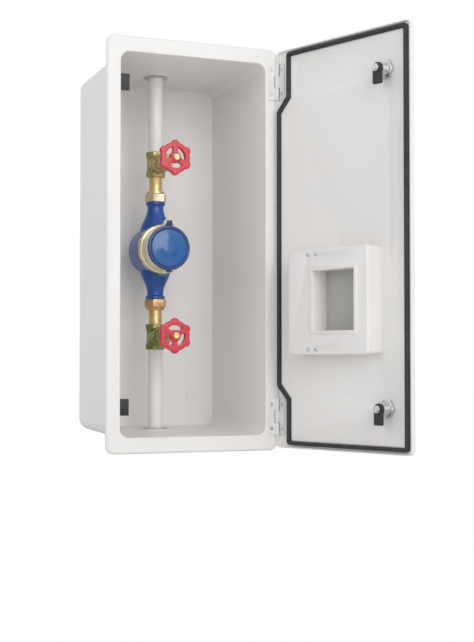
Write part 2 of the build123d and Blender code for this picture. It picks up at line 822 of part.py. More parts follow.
for name, end in (("upper", 1), ("lower", -1)):

    def ring_plane(distance):
        return level_plane(pipe_x, pipe_y, meter_mid + end * distance)

    def toward_front(reach):
        return front_plane(pipe_x, pipe_y - reach, meter_mid + end * valve_mid)

    with BuildPart() as grommet:
        for face, way in ((end * entry_face, -end), (end * entry_outer, end)):
            with BuildSketch(level_plane(pipe_x, pipe_y, face)):
                Circle(grommet_lip_r)
            extrude(amount=way * grommet_lip, taper=20)
        with BuildSketch(level_plane(pipe_x, pipe_y, end * entry_face)):
            Circle(grommet_neck_r)
        extrude(amount=end * (entry_outer - entry_face))
        with BuildSketch(level_plane(pipe_x, pipe_y, end * (entry_face - grommet_lip))):
            Circle(pipe_r)
        extrude(amount=end * (entry_outer - entry_face + 2 * grommet_lip), mode=Mode.SUBTRACT)
    grommet.part.label = f"{name}_grommet"
    export_step(grommet.part, f"parts/{name}_grommet.step")

    with BuildPart() as pipe:
        with BuildSketch(ring_plane(pipe_start)):
            Circle(pipe_r)
            Circle(pipe_r - pipe_wall, mode=Mode.SUBTRACT)
        extrude(amount=end * (pipe_end - (end * meter_mid + pipe_start)))
        # A shallow ring marks how far the supply's coupling slides on
        with BuildSketch(level_plane(pipe_x, pipe_y, end * mark_start)):
            Circle(pipe_r + 1)
            Circle(pipe_r - pipe_mark_depth, mode=Mode.SUBTRACT)
        extrude(amount=end * pipe_mark_width, mode=Mode.SUBTRACT)
    pipe.part.label = f"{name}_pipe"
    export_step(pipe.part, f"parts/{name}_pipe.step")

    with BuildPart() as valve_body:
        for start in (valve_start, valve_end_face - valve_end):
            with BuildSketch(ring_plane(start)):
                hexagon(valve_end_flats)
            extrude(amount=end * valve_end)
        chamfer(valve_body.faces().filter_by(Axis.Z).edges(), 0.8)
        with BuildSketch(ring_plane(valve_start + valve_end - 1)):
            Circle(valve_barrel_r)
        extrude(amount=end * (valve_length - 2 * valve_end + 2))
        with BuildSketch(toward_front(0)):
            Circle(valve_neck_r)
        extrude(amount=valve_neck)
        with BuildSketch(ring_plane(valve_start)):
            Circle(valve_bore_r)
        extrude(amount=end * valve_length, mode=Mode.SUBTRACT)
        with BuildSketch(ring_plane(valve_start)):
            Circle(tail_r)
        extrude(amount=end * tail_socket, mode=Mode.SUBTRACT)
        with BuildSketch(ring_plane(pipe_start)):
            Circle(pipe_r)
        extrude(amount=end * pipe_socket, mode=Mode.SUBTRACT)
        with BuildSketch(ring_plane(valve_mid - gate_thk / 2 - gate_play)):
            Circle(pocket_r)
            with Locations((0, -valve_neck / 2)):
                Rectangle(2 * pocket_r, valve_neck)
        extrude(amount=end * (gate_thk + 2 * gate_play), mode=Mode.SUBTRACT)
    valve_body.part.label = f"{name}_valve_body"
    export_step(valve_body.part, f"parts/{name}_valve_body.step")

    with BuildPart() as bonnet:
        with BuildSketch(toward_front(valve_neck)):
            hexagon(bonnet_flats)
        extrude(amount=bonnet_hex)
        chamfer(bonnet.faces().filter_by(Axis.Y).edges(), 0.8)
        with BuildSketch(toward_front(valve_neck)):
            Circle(bonnet_r)
        extrude(amount=bonnet_length)
        with BuildSketch(toward_front(valve_neck)):
            Circle(bonnet_cavity_r)
        extrude(amount=disc_clear - valve_neck, mode=Mode.SUBTRACT)
        with BuildSketch(toward_front(disc_clear)):
            Circle(block_bore_r)
        extrude(amount=bonnet_floor - disc_clear, mode=Mode.SUBTRACT)
        with BuildSketch(toward_front(bonnet_floor)):
            Circle(stem_r + pin_clearance)
        extrude(amount=bonnet_end - bonnet_floor, mode=Mode.SUBTRACT)
        with BuildSketch(toward_front(collar_start - gate_play)):
            Circle(stem_collar_r + pin_clearance)
        extrude(amount=bonnet_end - collar_start + gate_play, mode=Mode.SUBTRACT)
    bonnet.part.label = f"{name}_bonnet"
    export_step(bonnet.part, f"parts/{name}_bonnet.step")

    with BuildPart() as stem:
        with BuildSketch(toward_front(stem_reach)):
            Circle(stem_r)
        extrude(amount=collar_start - stem_reach)
        with BuildSketch(toward_front(collar_start)):
            Circle(stem_collar_r)
        extrude(amount=stem_collar)
        with BuildSketch(toward_front(collar_start + stem_collar)):
            Circle(stem_shank_r)
        extrude(amount=wheel_back - collar_start - stem_collar)
        with BuildSketch(toward_front(wheel_back)):
            Rectangle(wheel_square, wheel_square)
        extrude(amount=wheel_hub)
        with BuildSketch(toward_front(wheel_back + wheel_hub)):
            Circle(wheel_stud_r)
        extrude(amount=wheel_nut_thk + 1)
    stem.part.label = f"{name}_stem"
    export_step(stem.part, f"parts/{name}_stem.step")

    # The gate hangs on the stem's thread and stands open
    gate_mid = toward_front(gate_travel).origin
    with BuildPart() as gate:
        foot = gate_mid.Z - gate_thk / 2
        with BuildSketch(level_plane(gate_mid.X, gate_mid.Y, foot)):
            Circle(gate_r)
            with Locations((0, -(gate_r + gate_block) / 2)):
                Rectangle(gate_block_width, gate_r + gate_block)
        extrude(amount=gate_thk)
        with BuildSketch(toward_front(gate_travel + gate_r + gate_block)):
            Circle(stem_r + pin_clearance)
        extrude(amount=-(gate_travel + gate_r + gate_block - stem_reach + 0.5), mode=Mode.SUBTRACT)
    gate.part.label = f"{name}_gate"
    export_step(gate.part, f"parts/{name}_gate.step")

    turn = upper_wheel_turn if end > 0 else lower_wheel_turn
    with BuildPart() as handwheel:
        with BuildSketch(toward_front(wheel_reach - wheel_thk / 2)) as rim:
            Circle(wheel_r)
            with PolarLocations(wheel_lobe_pitch_r, wheel_lobes, start_angle=turn):
                Circle(wheel_lobe_r)
            fillet(rim.vertices(), wheel_edge_r)
        extrude(amount=wheel_thk)
        fillet(handwheel.faces().filter_by(Axis.Y).edges(), wheel_edge_r)
        with BuildSketch(toward_front(wheel_reach - wheel_thk / 2)) as windows:
            Circle(wheel_window_r)
            Circle(wheel_hub_r + 1, mode=Mode.SUBTRACT)
            with PolarLocations(wheel_window_r / 2, wheel_windows, start_angle=turn + 60):
                Rectangle(wheel_window_r, wheel_spoke, mode=Mode.SUBTRACT)
            fillet(windows.vertices(), 1.2)
        extrude(amount=wheel_thk, mode=Mode.SUBTRACT)
        with BuildSketch(toward_front(wheel_back)):
            Circle(wheel_hub_r)
        extrude(amount=wheel_hub)
        with BuildSketch(toward_front(wheel_back)):
            Rectangle(wheel_square, wheel_square)
        extrude(amount=wheel_hub, mode=Mode.SUBTRACT)
    handwheel.part.label = f"{name}_handwheel"
    export_step(handwheel.part, f"parts/{name}_handwheel.step")

    with BuildPart() as wheel_nut:
        with BuildSketch(toward_front(wheel_back + wheel_hub)):
            hexagon(wheel_nut_flats)
            Circle(wheel_stud_r, mode=Mode.SUBTRACT)
        extrude(amount=wheel_nut_thk)
    wheel_nut.part.label = f"{name}_wheel_nut"
    export_step(wheel_nut.part, f"parts/{name}_wheel_nut.step")

    with BuildPart() as tailpiece:
        with BuildSketch(ring_plane(tail_start)):
            Circle(union_collar_r)
        extrude(amount=end * union_collar)
        with BuildSketch(ring_plane(tail_start)):
            Circle(tail_r)
        extrude(amount=end * (valve_start + tail_socket - tail_start))
        with BuildSketch(ring_plane(tail_start)):
            Circle(tail_bore_r)
        extrude(amount=end * (valve_start + tail_socket - tail_start), mode=Mode.SUBTRACT)
    tailpiece.part.label = f"{name}_tailpiece"
    export_step(tailpiece.part, f"parts/{name}_tailpiece.step")

    with BuildPart() as union_nut:
        with BuildSketch(ring_plane(union_start)):
            hexagon(union_nut_flats)
        extrude(amount=end * (union_nut_height - union_lip))
        chamfer(union_nut.faces().filter_by(Axis.Z).edges(), 0.9)
        with BuildSketch(ring_plane(union_start)):
            Circle(union_nut_flats / 2 - 1.2)
        extrude(amount=end * union_nut_height)
        with BuildSketch(ring_plane(union_start)):
            Circle(meter_thread_r + thread_play)
        extrude(amount=end * (lip_start - union_start), mode=Mode.SUBTRACT)
        with BuildSketch(ring_plane(lip_start)):
            Circle(tail_r + thread_play)
        extrude(amount=end * union_lip, mode=Mode.SUBTRACT)
    union_nut.part.label = f"{name}_union_nut"
    export_step(union_nut.part, f"parts/{name}_union_nut.step")

with BuildPart() as gland_nuts:
    for end in (-1, 1):
        gland = front_plane(pipe_x, pipe_y - bonnet_end, meter_mid + end * valve_mid)
        with BuildSketch(gland):
            hexagon(gland_flats)
        extrude(amount=gland_length)
        with BuildSketch(gland):
            Circle(stem_shank_r + pin_clearance)
        extrude(amount=gland_length, mode=Mode.SUBTRACT)

gland_nuts.part.label = "gland_nuts"
export_step(gland_nuts.part, "parts/gland_nuts.step")

with BuildPart() as union_washers:
    for end in (-1, 1):
        with BuildSketch(level_plane(pipe_x, pipe_y, meter_mid + end * meter_length / 2)):
            Circle(union_collar_r)
            Circle(tail_bore_r, mode=Mode.SUBTRACT)
        extrude(amount=end * union_washer_thk)

union_washers.part.label = "union_washers"
export_step(union_washers.part, "parts/union_washers.step")


def head_plane(reach):
    """A plane across the meter's head, this far in front of the pipe's axis."""
    return front_plane(pipe_x, pipe_y - reach, meter_mid)


# Distances in front of the pipe's axis, through the meter's head
drum_inside = drum_floor - drum_back
neck_front = drum_front + drum_neck
ring_front = drum_front + ring_length
lip_back = ring_front - ring_lip
register_front = neck_front + register_length
register_inside = neck_front + register_floor
dial_back = neck_front + dial_height
dial_front = dial_back + dial_thk
glass_back = register_front - glass_below - glass_thk
hood_front = register_front + hood_lip
lid_back = hood_front + lid_gap
lid_front = lid_back + lid_thk
lid_axis = lid_back + lid_thk / 2
lid_pivot = (pipe_y - lid_axis, meter_mid + lid_hinge_rise)
chamber_top = neck_front - chamber_wall
impeller_back = -impeller_height / 2
leg_collar = union_start - meter_collar

# Meter body: flared legs run into a drum that opens to the front
with BuildPart() as meter_body:
    with BuildSketch(front_plane(pipe_x, pipe_y, meter_mid)):
        with BuildLine():
            Polyline((0, 0), (flare_r, 0), (flare_r, flare_start))
            Spline(
                (flare_r, flare_start), (flare_mid_r, flare_mid), (meter_neck_r, leg_collar),
                tangents=((0, 1), (0, 1)),
            )
            Polyline(
                (meter_neck_r, leg_collar), (meter_collar_r, leg_collar + 2),
                (meter_collar_r, union_start), (meter_thread_r, union_start),
                (meter_thread_r, meter_length / 2), (0, meter_length / 2), (0, 0),
            )
        make_face()
    revolve(axis=Axis((pipe_x, pipe_y, meter_mid), (0, 0, 1)))
    mirror(about=level_plane(0, 0, meter_mid))
    with BuildSketch(head_plane(-drum_back)):
        Circle(drum_r)
    extrude(amount=drum_back + drum_front)
    fillet(meter_body.faces().sort_by(Axis.Y)[-1].edges(), drum_edge_r)
    with BuildSketch(head_plane(drum_front)):
        Circle(ring_bore_r - thread_play)
    extrude(amount=drum_neck)
    with BuildSketch(
        front_plane(pipe_x + calibration_side, pipe_y, meter_mid + calibration_rise)
    ):
        Circle(calibration_r)
    extrude(amount=calibration_reach)
    with BuildSketch(head_plane(neck_front)):
        Circle(drum_bore_r)
    extrude(amount=drum_inside - neck_front, mode=Mode.SUBTRACT)
    with BuildSketch(level_plane(pipe_x, pipe_y, meter_mid)):
        Circle(port_r)
    extrude(amount=meter_length / 2, both=True, mode=Mode.SUBTRACT)

meter_body.part.label = "meter_body"
export_step(meter_body.part, "parts/meter_body.step")

with BuildPart() as measuring_chamber:
    with BuildSketch(head_plane(drum_inside)):
        Circle(chamber_r)
    extrude(amount=neck_front - drum_inside)
    with BuildSketch(head_plane(drum_inside + chamber_wall)):
        Circle(chamber_r - chamber_wall)
    extrude(amount=chamber_top - drum_inside - chamber_wall, mode=Mode.SUBTRACT)
    with BuildSketch(head_plane(drum_inside + chamber_wall - spindle_seat)):
        Circle(spindle_r + pin_clearance)
    extrude(amount=chamber_top - drum_inside - chamber_wall + 2 * spindle_seat, mode=Mode.SUBTRACT)
    with BuildSketch(head_plane(-chamber_slot / 2)):
        with PolarLocations(0, chamber_slots, angular_range=180, endpoint=False):
            Rectangle(2 * chamber_r + 1, chamber_slot_width)
    extrude(amount=chamber_slot, mode=Mode.SUBTRACT)

measuring_chamber.part.label = "measuring_chamber"
export_step(measuring_chamber.part, "parts/measuring_chamber.step")

with BuildPart() as impeller:
    with BuildSketch(head_plane(impeller_back)):
        Circle(impeller_hub_r)
        with PolarLocations(impeller_r / 2, impeller_blades):
            Rectangle(impeller_r, impeller_blade_thk)
    extrude(amount=impeller_height)
    shaft_back = drum_inside + chamber_wall - spindle_seat + spindle_play
    with BuildSketch(head_plane(shaft_back)):
        Circle(spindle_r)
    extrude(amount=chamber_top + spindle_seat - spindle_play - shaft_back)

impeller.part.label = "impeller"
export_step(impeller.part, "parts/impeller.step")

with BuildPart() as head_ring:
    with BuildSketch(head_plane(drum_front)):
        Circle(ring_r)
    extrude(amount=ring_length)
    fillet(head_ring.edges().filter_by(GeomType.CIRCLE), 1.5)
    with BuildSketch(head_plane(drum_front)):
        with PolarLocations(ring_r + ring_grip_r - ring_grip_depth, ring_grips):
            Circle(ring_grip_r)
    extrude(amount=lip_back - drum_front, mode=Mode.SUBTRACT)
    with BuildSketch(head_plane(drum_front)):
        Circle(ring_bore_r)
    extrude(amount=lip_back - drum_front, mode=Mode.SUBTRACT)
    with BuildSketch(head_plane(lip_back)):
        Circle(register_r + thread_play)
    extrude(amount=ring_lip, mode=Mode.SUBTRACT)

head_ring.part.label = "head_ring"
export_step(head_ring.part, "parts/head_ring.step")

with BuildPart() as register_base:
    with BuildSketch(head_plane(neck_front)):
        Circle(ring_bore_r - thread_play)
    extrude(amount=lip_back - neck_front)
    with BuildSketch(head_plane(neck_front)):
        Circle(register_r)
    extrude(amount=register_length)
    for back, radius in (
        (register_inside, dial_r - dial_seat),
        (dial_back, dial_r),
        (glass_back, glass_r),
    ):
        with BuildSketch(head_plane(back)):
            Circle(radius)
        extrude(amount=register_front - back, mode=Mode.SUBTRACT)

register_base.part.label = "register_base"
export_step(register_base.part, "parts/register_base.step")

with BuildPart() as register_dial:
    with BuildSketch(head_plane(dial_back)):
        Circle(dial_r)
        Circle(star_spindle_r + pin_clearance, mode=Mode.SUBTRACT)
    extrude(amount=dial_thk)

register_dial.part.label = "register_dial"
export_step(register_dial.part, "parts/register_dial.step")

with BuildPart() as flow_star:
    with BuildSketch(head_plane(dial_front + star_lift)):
        RegularPolygon(star_r, 3)
        RegularPolygon(star_r, 3, rotation=60)
    extrude(amount=star_thk)
    with BuildSketch(head_plane(dial_back + pin_clearance)):
        Circle(star_spindle_r)
    extrude(amount=dial_thk + star_lift)

flow_star.part.label = "flow_star"
export_step(flow_star.part, "parts/flow_star.step")

with BuildPart() as register_glass:
    with BuildSketch(head_plane(glass_back)):
        Circle(glass_r)
    extrude(amount=glass_thk)

register_glass.part.label = "register_glass"
export_step(register_glass.part, "parts/register_glass.step")


def lid_side(x):
    """Across the lid's hinge: the plane's own x is Y and its own y is Z."""
    return Plane(origin=(pipe_x + x, 0, 0), x_dir=(0, 1, 0), z_dir=(1, 0, 0))


# Hood: the collar round the register, with two ears for the lid
ear_inner = lid_knuckle / 2 + lid_ear_gap

with BuildPart() as register_hood:
    with BuildSketch(head_plane(ring_front)):
        Circle(hood_r)
    extrude(amount=hood_front - ring_front)
    for x in (-ear_inner - lid_ear, ear_inner):
        with BuildSketch(lid_side(x)):
            with BuildLine():
                Polyline(
                    (pipe_y - register_front + hood_lip, meter_mid + hood_bore_r),
                    (pipe_y - hood_front, meter_mid + hood_bore_r),
                    (pipe_y - hood_front, meter_mid + hood_r),
                    (lid_pivot[0] - lid_hinge_r * 0.6, lid_pivot[1] - lid_hinge_r * 0.8),
                    (lid_pivot[0] + lid_hinge_r, lid_pivot[1]),
                    (pipe_y - ring_front - lid_hinge_r, meter_mid + hood_r - 1),
                    close=True,
                )
            make_face()
            with Locations(lid_pivot):
                Circle(lid_hinge_r)
        extrude(amount=lid_ear)
    with BuildSketch(lid_side(-ear_inner - lid_ear)):
        with Locations(lid_pivot):
            Circle(lid_pin_r)
    extrude(amount=2 * (ear_inner + lid_ear), mode=Mode.SUBTRACT)
    with BuildSketch(head_plane(ring_front)):
        Circle(register_r + thread_play)
    extrude(amount=register_front - ring_front, mode=Mode.SUBTRACT)
    with BuildSketch(head_plane(register_front)):
        Circle(hood_bore_r)
    extrude(amount=hood_lip, mode=Mode.SUBTRACT)

register_hood.part.label = "register_hood"
export_step(register_hood.part, "parts/register_hood.step")

with BuildPart() as lid_pin:
    with BuildSketch(lid_side(-ear_inner - lid_ear)):
        with Locations(lid_pivot):
            Circle(lid_pin_r)
    extrude(amount=2 * (ear_inner + lid_ear))

lid_pin.part.label = "lid_pin"
export_step(lid_pin.part, "parts/lid_pin.step")

# The lid's middle is part of a sphere centred on its axis
border_in = lid_r - lid_border
crown_r = (border_in**2 + lid_crown**2) / (2 * lid_crown)
crown_mid = math.sqrt(crown_r**2 - border_in**2 / 4) - crown_r + lid_crown

with BuildPart() as meter_lid:
    with BuildSketch(level_plane(pipe_x, pipe_y, meter_mid)):
        with BuildLine():
            Polyline(
                (0, -lid_back), (lid_r, -lid_back), (lid_r, -lid_front + 0.6),
                (lid_r - 1.2, -lid_front - lid_border_rise),
                (border_in + 1.2, -lid_front - lid_border_rise),
                (border_in, -lid_front),
            )
            ThreePointArc(
                (border_in, -lid_front),
                (border_in / 2, -lid_front - crown_mid),
                (0, -lid_front - lid_crown),
            )
            Line((0, -lid_front - lid_crown), (0, -lid_back))
        make_face()
    revolve(axis=Axis((pipe_x, pipe_y, meter_mid), (0, 1, 0)))
    with BuildSketch(head_plane(lid_back)):
        with Locations((0, -lid_r)):
            RectangleRounded(lid_tab_width, 2 * lid_tab, lid_tab * 0.5)
    extrude(amount=lid_thk)
    with BuildSketch(lid_side(-lid_knuckle / 2)):
        with BuildLine():
            Polyline(
                (pipe_y - lid_back, meter_mid + lid_r - 2),
                (pipe_y - lid_front, meter_mid + lid_r - 2),
                (pipe_y - lid_front - lid_border_rise, lid_pivot[1]),
                (pipe_y - lid_back, lid_pivot[1]),
                close=True,
            )
        make_face()
        with Locations(lid_pivot):
            Circle(lid_hinge_r)
            Circle(lid_pin_r + pin_clearance, mode=Mode.SUBTRACT)
    extrude(amount=lid_knuckle)

meter_lid.part.label = "meter_lid"
export_step(meter_lid.part, "parts/meter_lid.step")
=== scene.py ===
import json
import math

import bmesh
import bpy
from bpy.props import FloatProperty, FloatVectorProperty, PointerProperty
from mathutils import Matrix, Vector


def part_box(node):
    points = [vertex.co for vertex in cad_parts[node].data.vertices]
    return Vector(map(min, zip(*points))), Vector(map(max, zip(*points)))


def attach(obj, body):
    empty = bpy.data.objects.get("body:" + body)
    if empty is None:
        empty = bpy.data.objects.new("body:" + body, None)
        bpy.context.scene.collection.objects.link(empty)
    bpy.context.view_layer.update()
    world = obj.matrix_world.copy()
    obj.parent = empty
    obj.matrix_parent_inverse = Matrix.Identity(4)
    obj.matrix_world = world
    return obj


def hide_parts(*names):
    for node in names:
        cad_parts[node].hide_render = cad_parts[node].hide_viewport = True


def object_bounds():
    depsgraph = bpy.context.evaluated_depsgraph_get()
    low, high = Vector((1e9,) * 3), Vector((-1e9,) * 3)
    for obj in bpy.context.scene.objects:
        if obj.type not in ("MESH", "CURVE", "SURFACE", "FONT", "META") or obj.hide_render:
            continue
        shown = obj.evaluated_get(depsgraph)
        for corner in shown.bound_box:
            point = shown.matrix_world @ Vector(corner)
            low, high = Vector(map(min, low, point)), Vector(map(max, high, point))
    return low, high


bl_info = {
    "name": "Water Meter Cabinet",
    "version": (1, 0, 0),
    "blender": (4, 5, 0),
    "location": "3D View > Sidebar > Meter Cabinet",
    "description": "Dresses the packed water meter cabinet with its finishes and fittings",
    "category": "Object",
}

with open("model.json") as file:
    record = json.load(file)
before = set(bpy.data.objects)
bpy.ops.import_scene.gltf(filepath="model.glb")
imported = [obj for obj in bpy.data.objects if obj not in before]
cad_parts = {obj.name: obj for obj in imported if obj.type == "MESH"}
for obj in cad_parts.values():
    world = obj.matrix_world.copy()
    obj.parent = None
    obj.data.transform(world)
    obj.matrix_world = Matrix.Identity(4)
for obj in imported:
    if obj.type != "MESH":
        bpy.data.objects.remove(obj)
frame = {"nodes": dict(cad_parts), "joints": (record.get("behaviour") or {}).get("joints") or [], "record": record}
CAD_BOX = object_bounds()
MM = 0.001
FLOOR_HEIGHT = CAD_BOX[0].z
JOINTS = {joint["name"]: joint for joint in frame["joints"]}
BODY_OF = {
    node: body
    for body, members in frame["record"]["behaviour"]["bodies"].items()
    for node in members
}

WALL_FIXINGS = next(
    mount["dims"] for mount in frame["record"]["mounts"] if mount["name"] == "wall_fixings"
)

# Materials by the name of their finish, filled by the first operator
FINISHES = {}

# The door's inner side faces against the axis of its locks
DOOR_INWARD = -Vector(JOINTS["upper_lock_turn"]["axis"])
DOOR_ACROSS = Vector((-DOOR_INWARD.y, DOOR_INWARD.x, 0.0))
HINGE = Vector(JOINTS["door_hinge"]["pos_m"])
METER = Vector(JOINTS["impeller_spin"]["pos_m"])


# Materials


class Nodes:
    """Builds a node tree from constants and from sockets that it links."""

    def __init__(self, tree):
        self.tree = tree

    def feed(self, socket, value):
        if isinstance(value, bpy.types.NodeSocket):
            self.tree.links.new(value, socket)
        else:
            socket.default_value = value

    def node(self, kind, values=None, **settings):
        made = self.tree.nodes.new(kind)
        for key, value in settings.items():
            setattr(made, key, value)
        for key, value in (values or {}).items():
            self.feed(made.inputs[key], value)
        return made

    def math(self, operation, first, second=0.0):
        made = self.node("ShaderNodeMath", {0: first, 1: second}, operation=operation)
        return made.outputs[0]


class Finish(Nodes):
    """One procedural material on Object coordinates, built node by node."""

    def __init__(self, name):
        self.material = bpy.data.materials.new(name)
        self.material.use_nodes = True
        super().__init__(self.material.node_tree)
        self.tree.nodes.clear()
        self.surface = self.node("ShaderNodeOutputMaterial").inputs["Surface"]
        self.shader = self.node("ShaderNodeBsdfPrincipled")
        self.feed(self.surface, self.shader.outputs["BSDF"])
        self.coords = self.node("ShaderNodeTexCoord").outputs["Object"]

    def set(self, **values):
        for key, value in values.items():
            self.feed(self.shader.inputs[key.replace("_", " ")], value)

    def stretched(self, stretch):
        mapping = self.node("ShaderNodeMapping", {"Vector": self.coords, "Scale": stretch})
        return mapping.outputs["Vector"]

    def noise(self, size, detail=2.0, roughness=0.5, stretch=None):
        vector = self.stretched(stretch) if stretch else self.coords
        made = self.node(
            "ShaderNodeTexNoise",
            {"Vector": vector, "Scale": 1 / size, "Detail": detail, "Roughness": roughness},
        )
        return made.outputs["Fac"]

    def cells(self, size):
        made = self.node("ShaderNodeTexVoronoi", {"Vector": self.coords, "Scale": 1 / size})
        return made.outputs["Distance"]

    def between(self, factor, low, high, start=0.0, end=1.0):
        made = self.node(
            "ShaderNodeMapRange",
            {"Value": factor, "From Min": start, "From Max": end, "To Min": low, "To Max": high},
        )
        return made.outputs["Result"]

    def blend(self, factor, first, second):
        made = self.node("ShaderNodeMix", {0: factor}, data_type="RGBA")
        self.feed(made.inputs[6], first)
        self.feed(made.inputs[7], second)
        return made.outputs[2]

    def bump(self, height, depth, strength=1.0, normal=None):
        values = {"Height": height, "Distance": depth, "Strength": strength}
        if normal is not None:
            values["Normal"] = normal
        return self.node("ShaderNodeBump", values).outputs["Normal"]


def rgba(colour, factor=1.0):
    return (colour[0] * factor, colour[1] * factor, colour[2] * factor, 1.0)


def moulding_finish(name, colour, gloss):
    """Moulded plastic: a faint orange peel, slow waves and light scuffs."""
    f = Finish(name)
    tone = f.noise(90 * MM, detail=3.0)
    scuffs = f.noise(6 * MM, detail=6.0, roughness=0.7, stretch=(1, 1, 0.12))
    base = f.blend(f.between(tone, 0, 1, 0.35, 0.65), rgba(colour, 0.975), rgba(colour))
    marked = f.blend(f.between(scuffs, 0, 0.35, 0.66, 0.8), base, rgba(colour, 0.86))
    peel = f.noise(2.2 * MM, detail=2.0)
    waves = f.noise(70 * MM, detail=1.0)
    f.set(
        Base_Color=marked,
        Roughness=f.between(scuffs, gloss - 0.04, gloss + 0.14, 0.3, 0.75),
        Specular_IOR_Level=0.45,
        Normal=f.bump(peel, 0.05 * MM, 0.5, f.bump(waves, 0.5 * MM, 0.6)),
    )
    return f.material


def rubber_finish(name, colour, pore):
    """Foamed rubber with fine closed pores."""
    f = Finish(name)
    pores = f.cells(pore)
    tone = f.noise(7 * MM, detail=4.0)
    f.set(
        Base_Color=f.blend(f.between(tone, 0, 1, 0.3, 0.7), rgba(colour, 0.8), rgba(colour, 1.25)),
        Roughness=f.between(tone, 0.72, 0.92),
        Specular_IOR_Level=0.3,
        Normal=f.bump(pores, 0.12 * MM, 0.6),
    )
    return f.material


def grained_finish(name, colour, grain, roughness):
    """Moulded plastic with a spark-eroded grain."""
    f = Finish(name)
    spots = f.noise(grain, detail=3.0, roughness=0.6)
    tone = f.noise(12 * MM, detail=2.0)
    f.set(
        Base_Color=f.blend(tone, rgba(colour, 0.85), rgba(colour, 1.15)),
        Roughness=f.between(tone, roughness - 0.06, roughness + 0.08),
        Normal=f.bump(spots, 0.06 * MM, 0.7),
    )
    return f.material


def plated_finish(name, colour, roughness):
    """Zinc-plated steel: drawn scratches under a slightly clouded plating."""
    f = Finish(name)
    clouds = f.noise(5 * MM, detail=4.0)
    drawn = f.noise(0.9 * MM, detail=3.0, stretch=(1, 1, 0.08))
    f.set(
        Base_Color=f.blend(f.between(clouds, 0, 1, 0.3, 0.7), rgba(colour, 0.82), rgba(colour)),
        Metallic=1.0,
        Roughness=f.between(clouds, roughness - 0.07, roughness + 0.12),
        Normal=f.bump(drawn, 0.02 * MM, 0.5),
    )
    return f.material


def brass_finish(name, colour, tarnish, amount, depth):
    """Brass with brown and green tarnish in blotches; cast surfaces are grainy."""
    f = Finish(name)
    blotches = f.noise(9 * MM, detail=5.0, roughness=0.65)
    grain = f.noise(0.8 * MM, detail=3.0, roughness=0.6)
    tone = f.noise(3 * MM, detail=3.0)
    clean = f.blend(f.between(tone, 0, 1, 0.3, 0.7), rgba(colour, 0.84), rgba(colour, 1.06))
    stain = f.between(blotches, 0, amount, 0.42, 0.68)
    f.set(
        Base_Color=f.blend(stain, clean, rgba(tarnish)),
        Metallic=f.between(stain, 1.0, 0.7),
        Roughness=f.between(blotches, 0.26, 0.5, 0.3, 0.7),
        Normal=f.bump(grain, depth * MM, 0.7),
    )
    return f.material


def enamel_finish(name, colour, bare, grain, roughness):
    """Glossy paint over a casting, worn through here and there."""
    f = Finish(name)
    casting = f.noise(grain, detail=4.0, roughness=0.55)
    tone = f.noise(14 * MM, detail=3.0)
    chips = f.noise(2.6 * MM, detail=6.0, roughness=0.75)
    paint = f.blend(f.between(tone, 0, 1, 0.3, 0.7), rgba(colour, 0.86), rgba(colour, 1.1))
    f.set(
        Base_Color=f.blend(f.between(chips, 0, 1, 0.72, 0.76), paint, rgba(bare)),
        Roughness=f.between(tone, roughness - 0.05, roughness + 0.1),
        Coat_Weight=0.35,
        Coat_Roughness=0.12,
        Normal=f.bump(casting, 0.14 * MM, 0.5),
    )
    return f.material


def gloss_finish(name, colour, roughness):
    """Polished moulded plastic with hairline scratches."""
    f = Finish(name)
    hairs = f.noise(1.4 * MM, detail=5.0, roughness=0.7, stretch=(0.15, 1, 1))
    tone = f.noise(20 * MM, detail=2.0)
    f.set(
        Base_Color=f.blend(tone, rgba(colour, 0.92), rgba(colour, 1.06)),
        Roughness=f.between(hairs, roughness, roughness + 0.16, 0.4, 0.8),
        Coat_Weight=0.3,
        Coat_Roughness=0.06,
        Normal=f.bump(tone, 0.12 * MM, 0.3),
    )
    return f.material


def glass_finish(name):
    """Clear hardened glass."""
    f = Finish(name)
    haze = f.noise(8 * MM, detail=3.0)
    f.set(
        Base_Color=rgba((0.96, 0.99, 0.98)),
        Transmission_Weight=1.0,
        IOR=1.5,
        Roughness=f.between(haze, 0.0, 0.04),
    )
    return f.material


class CabinetFinishes(bpy.types.PropertyGroup):
    """Colours of the cabinet and its fittings."""

    moulding: FloatVectorProperty(
        name="Moulding", description="Cabinet, door and housing", subtype="COLOR",
        default=(0.86, 0.845, 0.83), min=0, max=1,
    )
    seal: FloatVectorProperty(
        name="Seal", description="Door seal", subtype="COLOR",
        default=(0.045, 0.046, 0.048), min=0, max=1,
    )
    catches: FloatVectorProperty(
        name="Catches", description="Catches and cams", subtype="COLOR",
        default=(0.02, 0.02, 0.022), min=0, max=1,
    )
    brass: FloatVectorProperty(
        name="Brass", description="Valves and unions", subtype="COLOR",
        default=(0.80, 0.60, 0.30), min=0, max=1,
    )
    ring: FloatVectorProperty(
        name="Head ring", description="Pale brass ring of the meter", subtype="COLOR",
        default=(0.86, 0.78, 0.52), min=0, max=1,
    )
    wheel: FloatVectorProperty(
        name="Handwheels", description="Enamel of the handwheels", subtype="COLOR",
        default=(0.66, 0.03, 0.06), min=0, max=1,
    )
    casing: FloatVectorProperty(
        name="Meter body", description="Enamel of the meter's casting", subtype="COLOR",
        default=(0.006, 0.075, 0.36), min=0, max=1,
    )
    lid: FloatVectorProperty(
        name="Meter lid", description="Lid and hood of the meter", subtype="COLOR",
        default=(0.008, 0.11, 0.36), min=0, max=1,
    )


def dress(material, *nodes):
    """Gives CAD nodes one material."""
    for name in nodes:
        slots = frame["nodes"][name].data.materials
        slots.clear()
        slots.append(material)


def ends(*names):
    return [f"{end}_{name}" for name in names for end in ("upper", "lower")]


